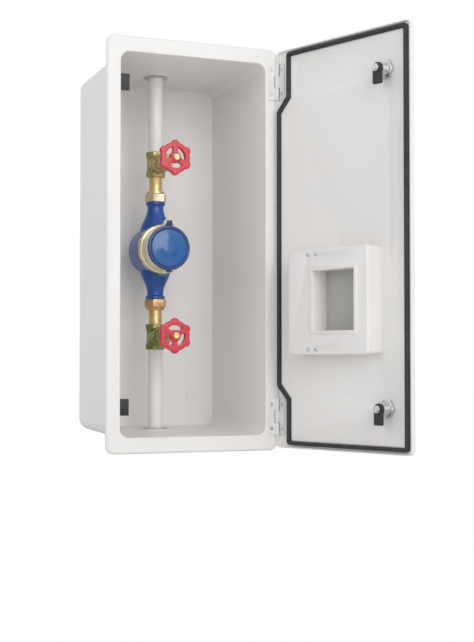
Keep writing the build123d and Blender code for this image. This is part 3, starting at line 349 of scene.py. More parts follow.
class CABINET_OT_finishes(bpy.types.Operator):
    """Make the finishes and give them to the CAD nodes"""

    bl_idname = "cabinet.finishes"
    bl_label = "Finishes"

    def execute(self, context):
        colours = context.scene.cabinet_finishes
        m = FINISHES
        m["moulding"] = moulding_finish("white_moulding", colours.moulding, 0.42)
        m["housing"] = moulding_finish("housing_moulding", colours.moulding, 0.36)
        m["pipe"] = moulding_finish("white_pipe", (0.86, 0.86, 0.86), 0.3)
        m["seal"] = rubber_finish("door_seal_rubber", colours.seal, 0.9 * MM)
        m["washer"] = rubber_finish("washer_rubber", (0.04, 0.04, 0.04), 0.7 * MM)
        m["grommet"] = rubber_finish("grommet_rubber", (0.5, 0.5, 0.49), 1.1 * MM)
        m["black"] = grained_finish("black_plastic", colours.catches, 0.7 * MM, 0.5)
        m["zinc"] = plated_finish("zinc_plating", (0.70, 0.71, 0.72), 0.34)
        m["hinge"] = moulding_finish("hinge_paint", (0.80, 0.80, 0.80), 0.34)
        # The module's recessed base is painted a darker grey than the moulding: painted shade in the recess.
        m["recess"] = moulding_finish("module_base_grey", (0.44, 0.43, 0.40), 0.5)
        for key, name, colour, tarnish, amount, depth in (
            ("brass", "valve_brass", colours.brass, (0.22, 0.26, 0.10), 0.55, 0.12),
            (
                "upper_valve", "upper_valve_brass", (0.54, 0.45, 0.20), (0.24, 0.25, 0.10),
                0.65, 0.12,
            ),
            (
                "lower_valve", "lower_valve_brass", (0.30, 0.33, 0.12), (0.12, 0.17, 0.06),
                0.7, 0.12,
            ),
            ("upper_tail", "upper_tail_brass", (0.88, 0.66, 0.30), (0.56, 0.42, 0.18), 0.3, 0.03),
            ("lower_tail", "lower_tail_brass", (0.82, 0.58, 0.26), (0.46, 0.32, 0.14), 0.35, 0.03),
            ("upper_nut", "upper_nut_brass", (0.84, 0.72, 0.46), (0.46, 0.38, 0.18), 0.4, 0.04),
            ("lower_nut", "lower_nut_brass", (0.72, 0.46, 0.24), (0.40, 0.24, 0.10), 0.5, 0.04),
            ("turned", "turned_brass", colours.brass, (0.42, 0.30, 0.14), 0.35, 0.03),
            ("ring", "ring_brass", colours.ring, (0.45, 0.42, 0.18), 0.5, 0.05),
        ):
            m[key] = brass_finish(name, colour, tarnish, amount, depth)
        m["wheel"] = enamel_finish(
            "wheel_enamel", colours.wheel, (0.25, 0.1, 0.09), 2.4 * MM, 0.28
        )
        m["casing"] = enamel_finish(
            "casing_enamel", colours.casing, (0.05, 0.09, 0.2), 1.6 * MM, 0.34
        )
        m["lid"] = gloss_finish("lid_plastic", colours.lid, 0.12)
        # The lid's rim and sides are a darker copy of the lid's blue plastic: painted shade on the lid's edges.
        m["rim"] = gloss_finish("lid_rim_plastic", (0.008, 0.035, 0.17), 0.2)
        m["hood"] = moulding_finish("hood_plastic", (0.80, 0.78, 0.60), 0.3)
        m["lug"] = gloss_finish("lug_plastic", (0.02, 0.22, 0.24), 0.3)
        m["cream"] = grained_finish("cream_plastic", (0.80, 0.77, 0.66), 0.9 * MM, 0.45)
        m["dial"] = grained_finish("dial_card", (0.85, 0.85, 0.82), 1.2 * MM, 0.5)
        m["star"] = gloss_finish("star_plastic", (0.7, 0.03, 0.03), 0.2)
        m["glass"] = glass_finish("clear_glass")
        dress(m["moulding"], "enclosure_body", "door_panel")
        dress(m["housing"], "module_cover")
        # The module's base takes the painted shade of its recess.
        dress(m["recess"], "module_base")
        dress(m["seal"], "door_seal")
        dress(m["black"], *ends("catch", "cam"))
        dress(
            m["zinc"], "catch_rivets", "frame_leaf_screws", "door_leaf_screws",
            "module_screws", "lock_nuts", "lid_pin",
            *ends("lock_housing", "lock_plug", "cam_nut", "hinge_pin"),
        )
        dress(m["hinge"], *ends("frame_leaf", "door_leaf"))
        dress(m["grommet"], *ends("grommet"))
        dress(m["washer"], "union_washers")
        dress(m["pipe"], *ends("pipe"))
        dress(m["brass"], *ends("valve_body", "bonnet", "gate"))
        dress(m["turned"], "gland_nuts", *ends("stem", "wheel_nut", "tailpiece", "union_nut"))
        dress(m["ring"], "head_ring")
        dress(m["wheel"], *ends("handwheel"))
        dress(m["casing"], "meter_body")
        dress(m["rim"], "meter_lid")
        dress(m["hood"], "register_hood")
        dress(m["cream"], "register_base", "measuring_chamber", "impeller")
        dress(m["dial"], "register_dial")
        dress(m["star"], "flow_star")
        dress(m["glass"], "register_glass")
        return {"FINISHED"}


# Mesh helpers


def plain(mesh):
    """Drops the shading that came with a mesh, so that edited faces shade by themselves."""
    for name in ("custom_normal", "sharp_face", "sharp_edge"):
        if name in mesh.attributes:
            mesh.attributes.remove(mesh.attributes[name])
    mesh.materials.clear()
    return mesh


def cad_mesh(node):
    """A copy of a CAD node's mesh with its shared corners merged."""
    mesh = plain(frame["nodes"][node].data.copy())
    shape = bmesh.new()
    shape.from_mesh(mesh)
    bmesh.ops.remove_doubles(shape, verts=shape.verts, dist=0.002 * MM)
    shape.to_mesh(mesh)
    shape.free()
    return mesh


def islands(node):
    """The corners of each separate solid in a CAD node, lowest solid first."""
    shape = bmesh.new()
    shape.from_mesh(cad_mesh(node))
    left = set(shape.verts)
    groups = []
    while left:
        found = [left.pop()]
        group = []
        while found:
            corner = found.pop()
            group.append(corner.co.copy())
            for edge in corner.link_edges:
                other = edge.other_vert(corner)
                if other in left:
                    left.remove(other)
                    found.append(other)
        groups.append(group)
    shape.free()
    return sorted(groups, key=lambda group: sum(co.z for co in group) / len(group))


def seat_point(corners, facing):
    """The middle of a solid's outermost face along the facing direction."""
    side = facing.orthogonal().normalized()
    up = facing.cross(side)
    spans = []
    for axis in (side, up):
        reach = [co.dot(axis) for co in corners]
        spans.append(axis * (min(reach) + max(reach)) / 2)
    return spans[0] + spans[1] + facing * max(co.dot(facing) for co in corners)


def work_object(name, data):
    work = bpy.data.objects.new(name, data)
    bpy.context.scene.collection.objects.link(work)
    return work


def baked(work):
    """The plain mesh that an object's modifiers make; the object itself goes."""
    graph = bpy.context.evaluated_depsgraph_get()
    mesh = bpy.data.meshes.new_from_object(work.evaluated_get(graph))
    mesh.name = work.name
    bpy.data.objects.remove(work)
    return mesh


def shaded(mesh, angle=35.0):
    """Smooth faces with sharp edges where the surface turns by more than the angle."""
    shape = bmesh.new()
    shape.from_mesh(mesh)
    limit = math.radians(angle)
    for face in shape.faces:
        face.smooth = True
    for edge in shape.edges:
        edge.smooth = len(edge.link_faces) == 2 and edge.calc_face_angle(0.0) < limit
    shape.to_mesh(mesh)
    shape.free()
    return mesh


def fitted(name, mesh, body, material, nodes=()):
    """Hangs a finished mesh on its body, in place of the CAD nodes that it stands for."""
    mesh.materials.clear()
    mesh.materials.append(material)
    piece = work_object(name, mesh)
    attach(piece, body)
    if nodes:
        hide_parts(*nodes)


def lathe(profile, place, axis, steps=96):
    """A closed solid turned about an axis from (radius, height) pairs that start and end at 0."""
    shape = bmesh.new()
    turn = Vector((0, 0, 1)).rotation_difference(Vector(axis)).to_matrix()
    rings = []
    for radius, height in profile:
        if radius == 0:
            rings.append([shape.verts.new(turn @ Vector((0, 0, height)) + place)])
            continue
        ring = []
        for step in range(steps):
            angle = math.tau * step / steps
            flat = Vector((radius * math.cos(angle), radius * math.sin(angle), height))
            ring.append(shape.verts.new(turn @ flat + place))
        rings.append(ring)
    for low, high in zip(rings, rings[1:]):
        for step in range(steps):
            after = (step + 1) % steps
            corners = [low[step % len(low)], low[after % len(low)]]
            corners += [high[after % len(high)], high[step % len(high)]]
            unique = list(dict.fromkeys(corners))
            if len(unique) > 2:
                shape.faces.new(unique)
    bmesh.ops.recalc_face_normals(shape, faces=shape.faces)
    mesh = bpy.data.meshes.new("lathe")
    shape.to_mesh(mesh)
    shape.free()
    return mesh


def joined(*meshes):
    """Several closed shells in one mesh."""
    shape = bmesh.new()
    for mesh in meshes:
        shape.from_mesh(mesh)
    result = bpy.data.meshes.new("joined")
    shape.to_mesh(result)
    shape.free()
    return result


def cast(name, shells, voxel, passes):
    """Fuses shells into one casting with soft edges and filleted corners."""
    work = work_object(name, joined(*shells))
    fuse = work.modifiers.new("fuse", "REMESH")
    fuse.mode = "VOXEL"
    fuse.voxel_size = voxel
    fuse.use_smooth_shade = True
    soften = work.modifiers.new("soften", "SMOOTH")
    soften.factor = 0.5
    soften.iterations = passes
    return baked(work)


def boolean(mesh, cutter, operation, solver="EXACT"):
    work = work_object("cut", mesh)
    tool = work_object("tool", cutter)
    change = work.modifiers.new("cut", "BOOLEAN")
    change.operation = operation
    change.solver = solver
    change.object = tool
    result = baked(work)
    bpy.data.objects.remove(tool)
    return result


def bevelled(mesh, width, segments=2, angle=38.0):
    """Rounds every edge that turns by more than the angle."""
    work = work_object("bevelled", mesh)
    flat = work.modifiers.new("flat", "DECIMATE")
    flat.decimate_type = "DISSOLVE"
    flat.angle_limit = math.radians(0.4)
    edge = work.modifiers.new("edge", "BEVEL")
    edge.width = width
    edge.segments = segments
    edge.limit_method = "ANGLE"
    edge.angle_limit = math.radians(angle)
    edge.use_clamp_overlap = True
    result = baked(work)
    return shaded(result)


def mid_of(node):
    low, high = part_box(node)
    return (low + high) / 2


# Geometry nodes


class Tree(Nodes):
    """A geometry node tree with named inputs, built node by node."""

    def __init__(self, name, **inputs):
        super().__init__(bpy.data.node_groups.new(name, "GeometryNodeTree"))
        self.tree.is_modifier = True
        face = self.tree.interface
        face.new_socket("Geometry", in_out="INPUT", socket_type="NodeSocketGeometry")
        for label, default in inputs.items():
            kind = "NodeSocketInt" if isinstance(default, int) else "NodeSocketFloat"
            socket = face.new_socket(label, in_out="INPUT", socket_type=kind)
            socket.default_value = default
        face.new_socket("Material", in_out="INPUT", socket_type="NodeSocketMaterial")
        face.new_socket("Geometry", in_out="OUTPUT", socket_type="NodeSocketGeometry")
        self.inputs = self.node("NodeGroupInput").outputs
        self.output = self.node("NodeGroupOutput").inputs[0]

    def vector(self, x=0.0, y=0.0, z=0.0):
        return self.node("ShaderNodeCombineXYZ", {"X": x, "Y": y, "Z": z}).outputs[0]

    def moved(self, geometry, shift=(0, 0, 0), scale=(1, 1, 1)):
        values = {"Geometry": geometry, "Translation": shift, "Scale": scale}
        return self.node("GeometryNodeTransform", values).outputs[0]

    def join(self, *shapes):
        made = self.node("GeometryNodeJoinGeometry")
        for shape in shapes:
            self.tree.links.new(shape, made.inputs[0])
        return made.outputs[0]

    def cylinder(self, radius, depth, sides=40, shift=0.0):
        made = self.node(
            "GeometryNodeMeshCylinder", {"Vertices": sides, "Radius": radius, "Depth": depth}
        )
        return self.moved(made.outputs["Mesh"], shift=self.vector(z=shift))

    def on_points(self, shape, spin=0.0, seed=1):
        """The shape on every point, with its Z along the point's facing, turned at random."""
        facing = self.node(
            "GeometryNodeInputNamedAttribute", {"Name": "facing"}, data_type="FLOAT_VECTOR"
        ).outputs["Attribute"]
        aim = self.node(
            "FunctionNodeAlignRotationToVector", {"Vector": facing}, axis="Z"
        ).outputs[0]
        chance = self.node(
            "FunctionNodeRandomValue", {"Min": 0.0, "Max": spin, "Seed": seed}, data_type="FLOAT"
        )
        value = next(o for o in chance.outputs if o.enabled)
        twist = self.node(
            "FunctionNodeAxisAngleToRotation", {"Axis": (0, 0, 1), "Angle": value}
        ).outputs[0]
        turn = self.node(
            "FunctionNodeRotateRotation", {0: aim, 1: twist}, rotation_space="LOCAL"
        ).outputs[0]
        made = self.node(
            "GeometryNodeInstanceOnPoints",
            {"Points": self.inputs["Geometry"], "Instance": shape, "Rotation": turn},
        )
        return made.outputs[0]

    def close(self, geometry):
        """Ends the tree: real geometry with the material on it."""
        real = self.node("GeometryNodeRealizeInstances", {"Geometry": geometry}).outputs[0]
        painted = self.node(
            "GeometryNodeSetMaterial",
            {"Geometry": real, "Material": self.inputs["Material"]},
        ).outputs[0]
        self.tree.links.new(painted, self.output)
        return self.tree


def grown(name, group, source, material, **values):
    """Runs a tree on a source mesh and returns the plain mesh that it makes."""
    work = work_object(name, source)
    change = work.modifiers.new("grow", "NODES")
    change.node_group = group
    identifiers = {
        item.name: item.identifier
        for item in group.interface.items_tree
        if item.item_type == "SOCKET" and item.in_out == "INPUT"
    }
    change[identifiers["Material"]] = material
    for label, value in values.items():
        change[identifiers[label]] = value
    return baked(work)


def facing_points(places):
    """A mesh of loose points, each with the direction that it faces."""
    mesh = bpy.data.meshes.new("places")
    mesh.from_pydata([place for place, facing in places], [], [])
    attribute = mesh.attributes.new("facing", "FLOAT_VECTOR", "POINT")
    for entry, (place, facing) in zip(attribute.data, places):
        entry.vector = facing
    return mesh


def screw_tree():
    """Countersunk or pan head screws with a cross recess."""
    t = Tree(
        "cross_head_screws", head_r=2.8 * MM, head=1.1 * MM, shank_r=1.6 * MM,
        shank=4.6 * MM, slot=0.62 * MM, dome=0.0,
    )
    radius, height = t.inputs["head_r"], t.inputs["head"]
    half = t.math("MULTIPLY", height, -0.5)
    cone = t.node(
        "GeometryNodeMeshCone",
        {"Vertices": 40, "Radius Top": radius, "Radius Bottom": t.inputs["shank_r"],
         "Depth": height},
    ).outputs["Mesh"]
    top = t.moved(cone, shift=t.vector(z=t.math("MULTIPLY", height, -1.0)))
    cap = t.node("GeometryNodeMeshUVSphere", {"Segments": 40, "Rings": 16, "Radius": 1.0})
    dome = t.moved(
        cap.outputs["Mesh"],
        scale=t.vector(radius, radius, t.math("ADD", t.inputs["dome"], 0.02 * MM)),
    )
    body = t.node("GeometryNodeMeshBoolean", operation="UNION", solver="EXACT")
    for shape in (top, dome):
        t.tree.links.new(shape, body.inputs["Mesh 2"])
    wide = t.math("MULTIPLY", radius, 1.15)
    bars = []
    for across in (True, False):
        size = t.vector(wide, t.inputs["slot"], radius)
        if not across:
            size = t.vector(t.inputs["slot"], wide, radius)
        bars.append(t.node("GeometryNodeMeshCube", {"Size": size}).outputs["Mesh"])
    cutter = t.moved(
        t.join(*bars),
        shift=t.vector(z=t.math("ADD", t.math("MULTIPLY", radius, 0.22), t.inputs["dome"])),
    )
    recess = t.node(
        "GeometryNodeMeshBoolean", {"Mesh 1": body.outputs["Mesh"], "Mesh 2": cutter},
        operation="DIFFERENCE", solver="EXACT",
    )
    low = t.math("SUBTRACT", half, t.math("MULTIPLY", t.inputs["shank"], 0.5))
    shank = t.cylinder(t.inputs["shank_r"], t.inputs["shank"], shift=low)
    return t.close(t.on_points(t.join(recess.outputs["Mesh"], shank), spin=math.pi, seed=7))


def rivet_tree():
    """Rivets with a low dome at both ends of the shank."""
    t = Tree("domed_rivets", head_r=3.6 * MM, head=1.1 * MM, shank_r=2.0 * MM, grip=5.5 * MM)
    cap = t.node("GeometryNodeMeshUVSphere", {"Segments": 40, "Rings": 20, "Radius": 1.0})
    size = t.vector(t.inputs["head_r"], t.inputs["head_r"], t.inputs["head"])
    near = t.moved(cap.outputs["Mesh"], scale=size)
    back = t.math("MULTIPLY", t.inputs["grip"], -1.0)
    far = t.moved(cap.outputs["Mesh"], scale=size, shift=t.vector(z=back))
    middle = t.math("MULTIPLY", back, 0.5)
    shank = t.cylinder(t.inputs["shank_r"], t.inputs["grip"], shift=middle)
    return t.close(t.on_points(t.join(near, far, shank)))


def thread_tree():
    """A rolled thread: a ridge that winds along a cylinder at each point."""
    t = Tree("rolled_threads", radius=9.0 * MM, length=8.0 * MM, pitch=1.25 * MM, rise=0.5 * MM)
    turns = t.math("DIVIDE", t.inputs["length"], t.inputs["pitch"])
    path = t.node(
        "GeometryNodeCurveSpiral",
        {"Resolution": 40, "Rotations": turns, "Start Radius": t.inputs["radius"],
         "End Radius": t.inputs["radius"], "Height": t.inputs["length"]},
    ).outputs[0]
    profile = t.node(
        "GeometryNodeCurvePrimitiveCircle", {"Resolution": 6, "Radius": t.inputs["rise"]}
    ).outputs[0]
    ridge = t.node(
        "GeometryNodeCurveToMesh",
        {"Curve": path, "Profile Curve": profile, "Fill Caps": True},
    ).outputs[0]
    return t.close(t.on_points(ridge))


def tick_tree():
    """Ticks round a dial, each a small bar that points at the middle."""
    t = Tree("dial_ticks", count=40, radius=24.0 * MM, length=2.0 * MM, width=0.4 * MM)
    ring = t.node(
        "GeometryNodeMeshCircle", {"Vertices": t.inputs["count"], "Radius": t.inputs["radius"]}
    ).outputs[0]
    size = t.vector(t.inputs["length"], t.inputs["width"], 0.2 * MM)
    bar = t.node("GeometryNodeMeshCube", {"Size": size}).outputs["Mesh"]
    place = t.node("GeometryNodeInputIndex").outputs[0]
    angle = t.math("MULTIPLY", t.math("DIVIDE", place, t.inputs["count"]), math.tau)
    made = t.node(
        "GeometryNodeInstanceOnPoints",
        {"Points": ring, "Instance": bar, "Rotation": t.vector(z=angle)},
    ).outputs[0]
    return t.close(made)


def seal_tree():
    """A soft strip that follows its path round the door."""
    t = Tree("door_seal_strip", width=7.0 * MM, height=6.0 * MM, edge_r=1.6 * MM, corner_r=3.0 * MM)
    path = t.node("GeometryNodeMeshToCurve", {"Mesh": t.inputs["Geometry"]}).outputs[0]
    soft = t.node(
        "GeometryNodeFilletCurve",
        {"Curve": path, "Radius": t.inputs["corner_r"], "Count": 8}, mode="POLY",
    ).outputs[0]
    box = t.node(
        "GeometryNodeCurvePrimitiveQuadrilateral",
        {"Width": t.inputs["width"], "Height": t.inputs["height"]}, mode="RECTANGLE",
    ).outputs[0]
    section = t.node(
        "GeometryNodeFilletCurve",
        {"Curve": box, "Radius": t.inputs["edge_r"], "Count": 4}, mode="POLY",
    ).outputs[0]
    strip = t.node(
        "GeometryNodeCurveToMesh", {"Curve": soft, "Profile Curve": section}
    ).outputs[0]
    return t.close(strip)


# Pieces


class CABINET_OT_castings(bpy.types.Operator):
    """Turn the plain castings into soft-edged ones"""

    bl_idname = "cabinet.castings"
    bl_label = "Castings"

    def execute(self, context):
        sizes = context.scene.cabinet_pieces
        voxel = sizes.cast_voxel
        m = FINISHES
        for end in ("upper", "lower"):
            for part, grain, passes, finish in (
                ("handwheel", 0.8, 10, "wheel"),
                ("valve_body", 1.0, 12, f"{end}_valve"),
                ("bonnet", 0.9, 8, f"{end}_valve"),
                ("tailpiece", 0.9, 3, f"{end}_tail"),
            ):
                node = f"{end}_{part}"
                mesh = cast(node + "_casting", [cad_mesh(node)], voxel * grain, passes)
                if part == "valve_body":
                    gate = self.shut_gate(end, sizes.gate_play)
                    mesh = boolean(mesh, gate, "DIFFERENCE", "MANIFOLD")
                fitted(node + "_casting", mesh, BODY_OF[node], m[finish], (node,))
        mesh = cast("meter_casting", [cad_mesh("meter_body")], voxel * 1.4, 14)
        fitted(
            "meter_casting", mesh, BODY_OF["meter_body"], m["casing"],
            ("meter_body",),
        )
        return {"FINISHED"}

    @staticmethod
    def shut_gate(end, play):
        """The space that a shut gate needs in its valve, with its play."""
        slide = next(
            joint for joint in frame["record"]["behaviour"]["joints"]
            if joint["name"] == f"{end}_gate_slide"
        )
        shape = bmesh.new()
        shape.from_mesh(cad_mesh(f"{end}_gate"))
        shape.normal_update()
        way = Vector(slide["axis"]) * slide["range_m"][1]
        places = [corner.co + way + corner.normal * play for corner in shape.verts]
        for corner, place in zip(shape.verts, places):
            corner.co = place
        mesh = bpy.data.meshes.new("shut_gate")
        shape.to_mesh(mesh)
        shape.free()
        return mesh


class CABINET_OT_nuts(bpy.types.Operator):
    """Give the hexagon nuts their turned chamfers"""

    bl_idname = "cabinet.nuts"
    bl_label = "Nuts"

    def execute(self, context):
        sizes = context.scene.cabinet_pieces
        m = FINISHES
        upright = Vector((0, 0, 1))
        outward = Vector((0, -1, 0))
        jobs = [
            ("union_nut", upright, {"upper": "upper_nut", "lower": "lower_nut"}),
            ("wheel_nut", outward, {"upper": "turned", "lower": "turned"}),
            ("cam_nut", DOOR_INWARD, {"upper": "zinc", "lower": "zinc"}),
        ]
        for part, axis, finishes in jobs:
            for end, finish in finishes.items():
                node = f"{end}_{part}"
                mesh = self.turned(cad_mesh(node), axis, sizes.nut_edge)
                fitted(node + "_turned", mesh, BODY_OF[node], m[finish], (node,))
        for node, axis, finish in (
            ("gland_nuts", outward, "turned"), ("lock_nuts", DOOR_INWARD, "zinc"),
        ):
            shells = [self.turned(shell, axis, sizes.nut_edge) for shell in self.apart(node)]
            fitted(
                node + "_turned", joined(*shells), BODY_OF[node], m[finish],
                (node,),
            )
        return {"FINISHED"}

    @staticmethod
    def apart(node):
        """Each solid of a node as a mesh of its own, split by height."""
        whole = cad_mesh(node)
        middle = mid_of(node).z
        halves = []
        for side in (1, -1):
            shape = bmesh.new()
            shape.from_mesh(whole)
            gone = [v for v in shape.verts if side * (v.co.z - middle) < 0]
            bmesh.ops.delete(shape, geom=gone, context="VERTS")
            mesh = bpy.data.meshes.new("half")
            shape.to_mesh(mesh)
            shape.free()
            halves.append(mesh)
        return halves

    @staticmethod
    def turned(mesh, axis, edge):
        """Cuts a nut with the cone that a lathe leaves on both of its faces."""
        corners = [v.co.copy() for v in mesh.vertices]
        high = max(co.dot(axis) for co in corners)
        low = min(co.dot(axis) for co in corners)
        face = seat_point(corners, axis)
        centre = face - axis * (high - low) / 2
        reach = max((co - centre - axis * (co - centre).dot(axis)).length for co in corners)
        flats = reach * math.cos(math.pi / 6)
        half = (high - low) / 2
        drop = (reach - flats) * 0.75
        profile = [
            (0, -half - drop), (flats * 0.9, -half - drop), (flats * 0.985, -half),
            (reach + 0.2 * MM, -half + drop), (reach + 0.2 * MM, half - drop),
            (flats * 0.985, half), (flats * 0.9, half + drop), (0, half + drop),
        ]
        cone = lathe(profile, centre, axis)
        return bevelled(boolean(mesh, cone, "INTERSECT"), edge)


class CABINET_OT_fasteners(bpy.types.Operator):
    """Grow the screws, rivets and threads"""

    bl_idname = "cabinet.fasteners"
    bl_label = "Screws, rivets and threads"

    def execute(self, context):
        m = FINISHES
        screws = screw_tree()
        outward = Vector((0, -1, 0))
        for node, facing, values in (
            ("frame_leaf_screws", outward, {}),
            ("door_leaf_screws", DOOR_INWARD, {}),
            ("module_screws", DOOR_INWARD, {
                "head": 0.5 * MM, "shank_r": 1.5 * MM, "shank": 10.0 * MM, "dome": 0.9 * MM,
            }),
        ):
            places = []
            for corners in islands(node):
                seat = seat_point(corners, facing)
                drop = values.get("dome", 0.0)
                places.append((seat - facing * drop, facing))
            mesh = grown(node + "_cross", screws, facing_points(places), m["zinc"], **values)
            fitted(
                node + "_cross", shaded(mesh), BODY_OF[node], m["zinc"], (node,)
            )
        inward = Vector((1, 0, 0))
        head = 1.1 * MM
        places = [
            (seat_point(corners, inward) - inward * head, inward)
            for corners in islands("catch_rivets")
        ]
        mesh = grown(
            "catch_rivets_domed", rivet_tree(), facing_points(places), m["zinc"], head=head
        )
        fitted(
            "catch_rivets_domed", shaded(mesh), BODY_OF["catch_rivets"],
            m["zinc"], ("catch_rivets",),
        )
        across = WALL_FIXINGS["spacing_x_mm"] / 2 * MM
        up = WALL_FIXINGS["spacing_y_mm"] / 2 * MM
        pad_face = -5.0 * MM
        places = [
            (Vector((side * across, pad_face, end * up)), outward)
            for side in (-1, 1) for end in (-1, 1)
        ]
        mesh = grown(
            "fixing_caps", rivet_tree(), facing_points(places), m["moulding"],
            head_r=6.5 * MM, head=1.6 * MM, shank_r=3.3 * MM, grip=1.2 * MM,
        )
        fitted("fixing_caps", shaded(mesh), "cabinet", m["moulding"])
        threads = thread_tree()
        thread = {
            "radius": 8.2 * MM, "length": 10.6 * MM, "pitch": 1.5 * MM, "rise": 0.62 * MM,
        }
        thread_start = 11.2 * MM
        for end in ("upper", "lower"):
            node = f"{end}_lock_housing"
            corners = [v.co.copy() for v in frame["nodes"][node].data.vertices]
            tip = seat_point(corners, DOOR_INWARD)
            places = [(tip - DOOR_INWARD * thread_start, DOOR_INWARD)]
            mesh = grown(
                f"{end}_lock_thread", threads, facing_points(places), m["zinc"], **thread
            )
            fitted(f"{end}_lock_thread", shaded(mesh, 80), "door", m["zinc"])
        return {"FINISHED"}


class CABINET_OT_seal(bpy.types.Operator):
    """Lay the soft seal on its path round the door"""

    bl_idname = "cabinet.seal"
    bl_label = "Door seal"

    def execute(self, context):
        sizes = context.scene.cabinet_pieces
        m = FINISHES
        corners = [v.co.copy() for v in frame["nodes"]["door_seal"].data.vertices]
        across = [(co - HINGE).dot(DOOR_ACROSS) for co in corners]
        deep = [(co - HINGE).dot(DOOR_INWARD) for co in corners]
        inset = sizes.seal_width / 2
        near, far = min(across) + inset, max(across) - inset
        top = max(co.z for co in corners) - inset
        level = (min(deep) + max(deep)) / 2 - sizes.seal_play / 2
        jog = sizes.seal_jog_depth
        middle = sizes.seal_jog_height - inset * math.tan(math.pi / 8)
        half = [(far, top), (near + jog, top), (near + jog, middle + jog / 2)]
        half.append((near, middle - jog / 2))
        outline = half + [(a, -z) for a, z in reversed(half)]
        points = [
            HINGE + DOOR_ACROSS * a + DOOR_INWARD * level + Vector((0, 0, z - HINGE.z))
            for a, z in outline
        ]
        count = len(points)
        path = bpy.data.meshes.new("seal_path")
        path.from_pydata(points, [(i, (i + 1) % count) for i in range(count)], [])
        mesh = grown(
            "door_seal_strip", seal_tree(), path, m["seal"],
            width=sizes.seal_width, height=max(deep) - min(deep) - sizes.seal_play,
        )
        fitted(
            "door_seal_strip", shaded(mesh, 50), "door", m["seal"],
            ("door_seal",),
        )
        return {"FINISHED"}


class CABINET_OT_meter_head(bpy.types.Operator):
    """Add the lid's glossy face, the dial's ticks and the caps of the meter"""

    bl_idname = "cabinet.meter_head"
    bl_label = "Meter head"

    # Radius and height of each corner, in millimetres
    lid_face = (
        (0, 0), (28.0, 0), (28.4, 0.3), (28.0, 0.65), (24.0, 1.0), (12.0, 1.15), (11.0, 1.75),
        (9.0, 1.95), (0, 2.0),
    )
    boss_cap = ((0, 0), (4.6, 0), (4.8, 2.6), (4.2, 3.4), (0, 3.8))
    lid_dish = 1.2
    boss_reach = (13.0, -19.0, 45.0)
    lug_size = (17.0, 9.0, 5.0)
    lug_sink = 1.0
    lug_edge = 1.2

    def execute(self, context):
        m = FINISHES
        outward = Vector((0, -1, 0))
        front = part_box("meter_lid")[0].y + self.lid_dish * MM
        disc = lathe(self.scaled(self.lid_face), Vector((METER.x, front, METER.z)), outward)
        fitted("lid_face", shaded(disc, 50), "lid", m["lid"])

        # The boss's cap takes the pale cream of the hood: a painted highlight on the blue body.
        boss = METER + Vector(self.boss_reach) * MM
        cap = lathe(self.scaled(self.boss_cap), boss, outward, 40)
        fitted(
            "calibration_cap_painted_highlight", shaded(cap, 50), "cabinet", m["hood"]
        )

        low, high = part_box("head_ring")
        place = Vector((METER.x, (low.y + high.y) / 2, low.z - self.lug_sink * MM))
        lug = bmesh.new()
        bmesh.ops.create_cube(lug, size=1.0)
        bmesh.ops.scale(lug, vec=Vector(self.lug_size) * MM, verts=lug.verts)
        bmesh.ops.translate(lug, vec=place, verts=lug.verts)
        mesh = bpy.data.meshes.new("lug")
        lug.to_mesh(mesh)
        lug.free()
        fitted(
            "ring_lug", bevelled(mesh, self.lug_edge * MM, 3), "cabinet",
            m["lug"],
        )

        ticks = grown(
            "dial_ticks", tick_tree(), facing_points([]), m["casing"],
            count=40, radius=24.5 * MM, length=1.8 * MM, width=0.45 * MM,
        )
        dial = Vector((METER.x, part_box("register_dial")[0].y, METER.z))
        ticks.transform(Matrix.Translation(dial) @ Matrix.Rotation(math.pi / 2, 4, "X"))
        fitted("dial_ticks", ticks, BODY_OF["register_dial"], m["casing"])
        return {"FINISHED"}

    @staticmethod
    def scaled(profile):
        return [(radius * MM, height * MM) for radius, height in profile]


class CABINET_OT_soft_edges(bpy.types.Operator):
    """Round the sharp edges of the mouldings and pressed parts"""

    bl_idname = "cabinet.soft_edges"
    bl_label = "Soft edges"

    def execute(self, context):
        m = FINISHES
        for node, width, finish in (
            # The lid's body keeps the darker blue of its painted shade.
            ("meter_lid", 0.5, "rim"), ("register_hood", 0.5, "hood"),
            ("head_ring", 0.4, "ring"), ("module_cover", 0.5, "housing"),
            ("upper_catch", 0.5, "black"), ("lower_catch", 0.5, "black"),
            ("upper_cam", 0.4, "black"), ("lower_cam", 0.4, "black"),
            ("upper_lock_housing", 0.25, "zinc"), ("lower_lock_housing", 0.25, "zinc"),
            ("upper_frame_leaf", 0.25, "hinge"), ("lower_frame_leaf", 0.25, "hinge"),
            ("upper_door_leaf", 0.25, "hinge"), ("lower_door_leaf", 0.25, "hinge"),
            ("door_panel", 0.5, "moulding"), ("upper_grommet", 0.6, "grommet"),
            ("lower_grommet", 0.6, "grommet"),
        ):
            mesh = bevelled(cad_mesh(node), width * MM)
            fitted(node + "_soft", mesh, BODY_OF[node], m[finish], (node,))
        return {"FINISHED"}


class PieceSizes(bpy.types.PropertyGroup):
    """Sizes of the pieces made here."""

    cast_voxel: FloatProperty(
        name="Casting grain", description="Size of the cells that a casting is fused from",
        default=0.6 * MM, unit="LENGTH",
    )
    gate_play: FloatProperty(
        name="Gate play", description="Room left round a shut gate in its valve",
        default=0.4 * MM, unit="LENGTH",
    )
    nut_edge: FloatProperty(
        name="Nut edge", description="Rounding of the nuts' edges", default=0.3 * MM,
        unit="LENGTH",
    )
    seal_width: FloatProperty(
        name="Seal width", description="Width of the door seal", default=7.0 * MM,
        unit="LENGTH",
    )
    seal_play: FloatProperty(
        name="Seal play", description="How far the seal stops short of the shut frame",
        default=0.5 * MM, unit="LENGTH",
    )
    seal_jog_depth: FloatProperty(
        name="Seal step", description="How far the seal steps in past the hinges",
        default=21.0 * MM, unit="LENGTH",
    )
    seal_jog_height: FloatProperty(
        name="Seal step height", description="Height of the middle of the seal's step",
        default=215.0 * MM, unit="LENGTH",
    )


# Stage: places in metres

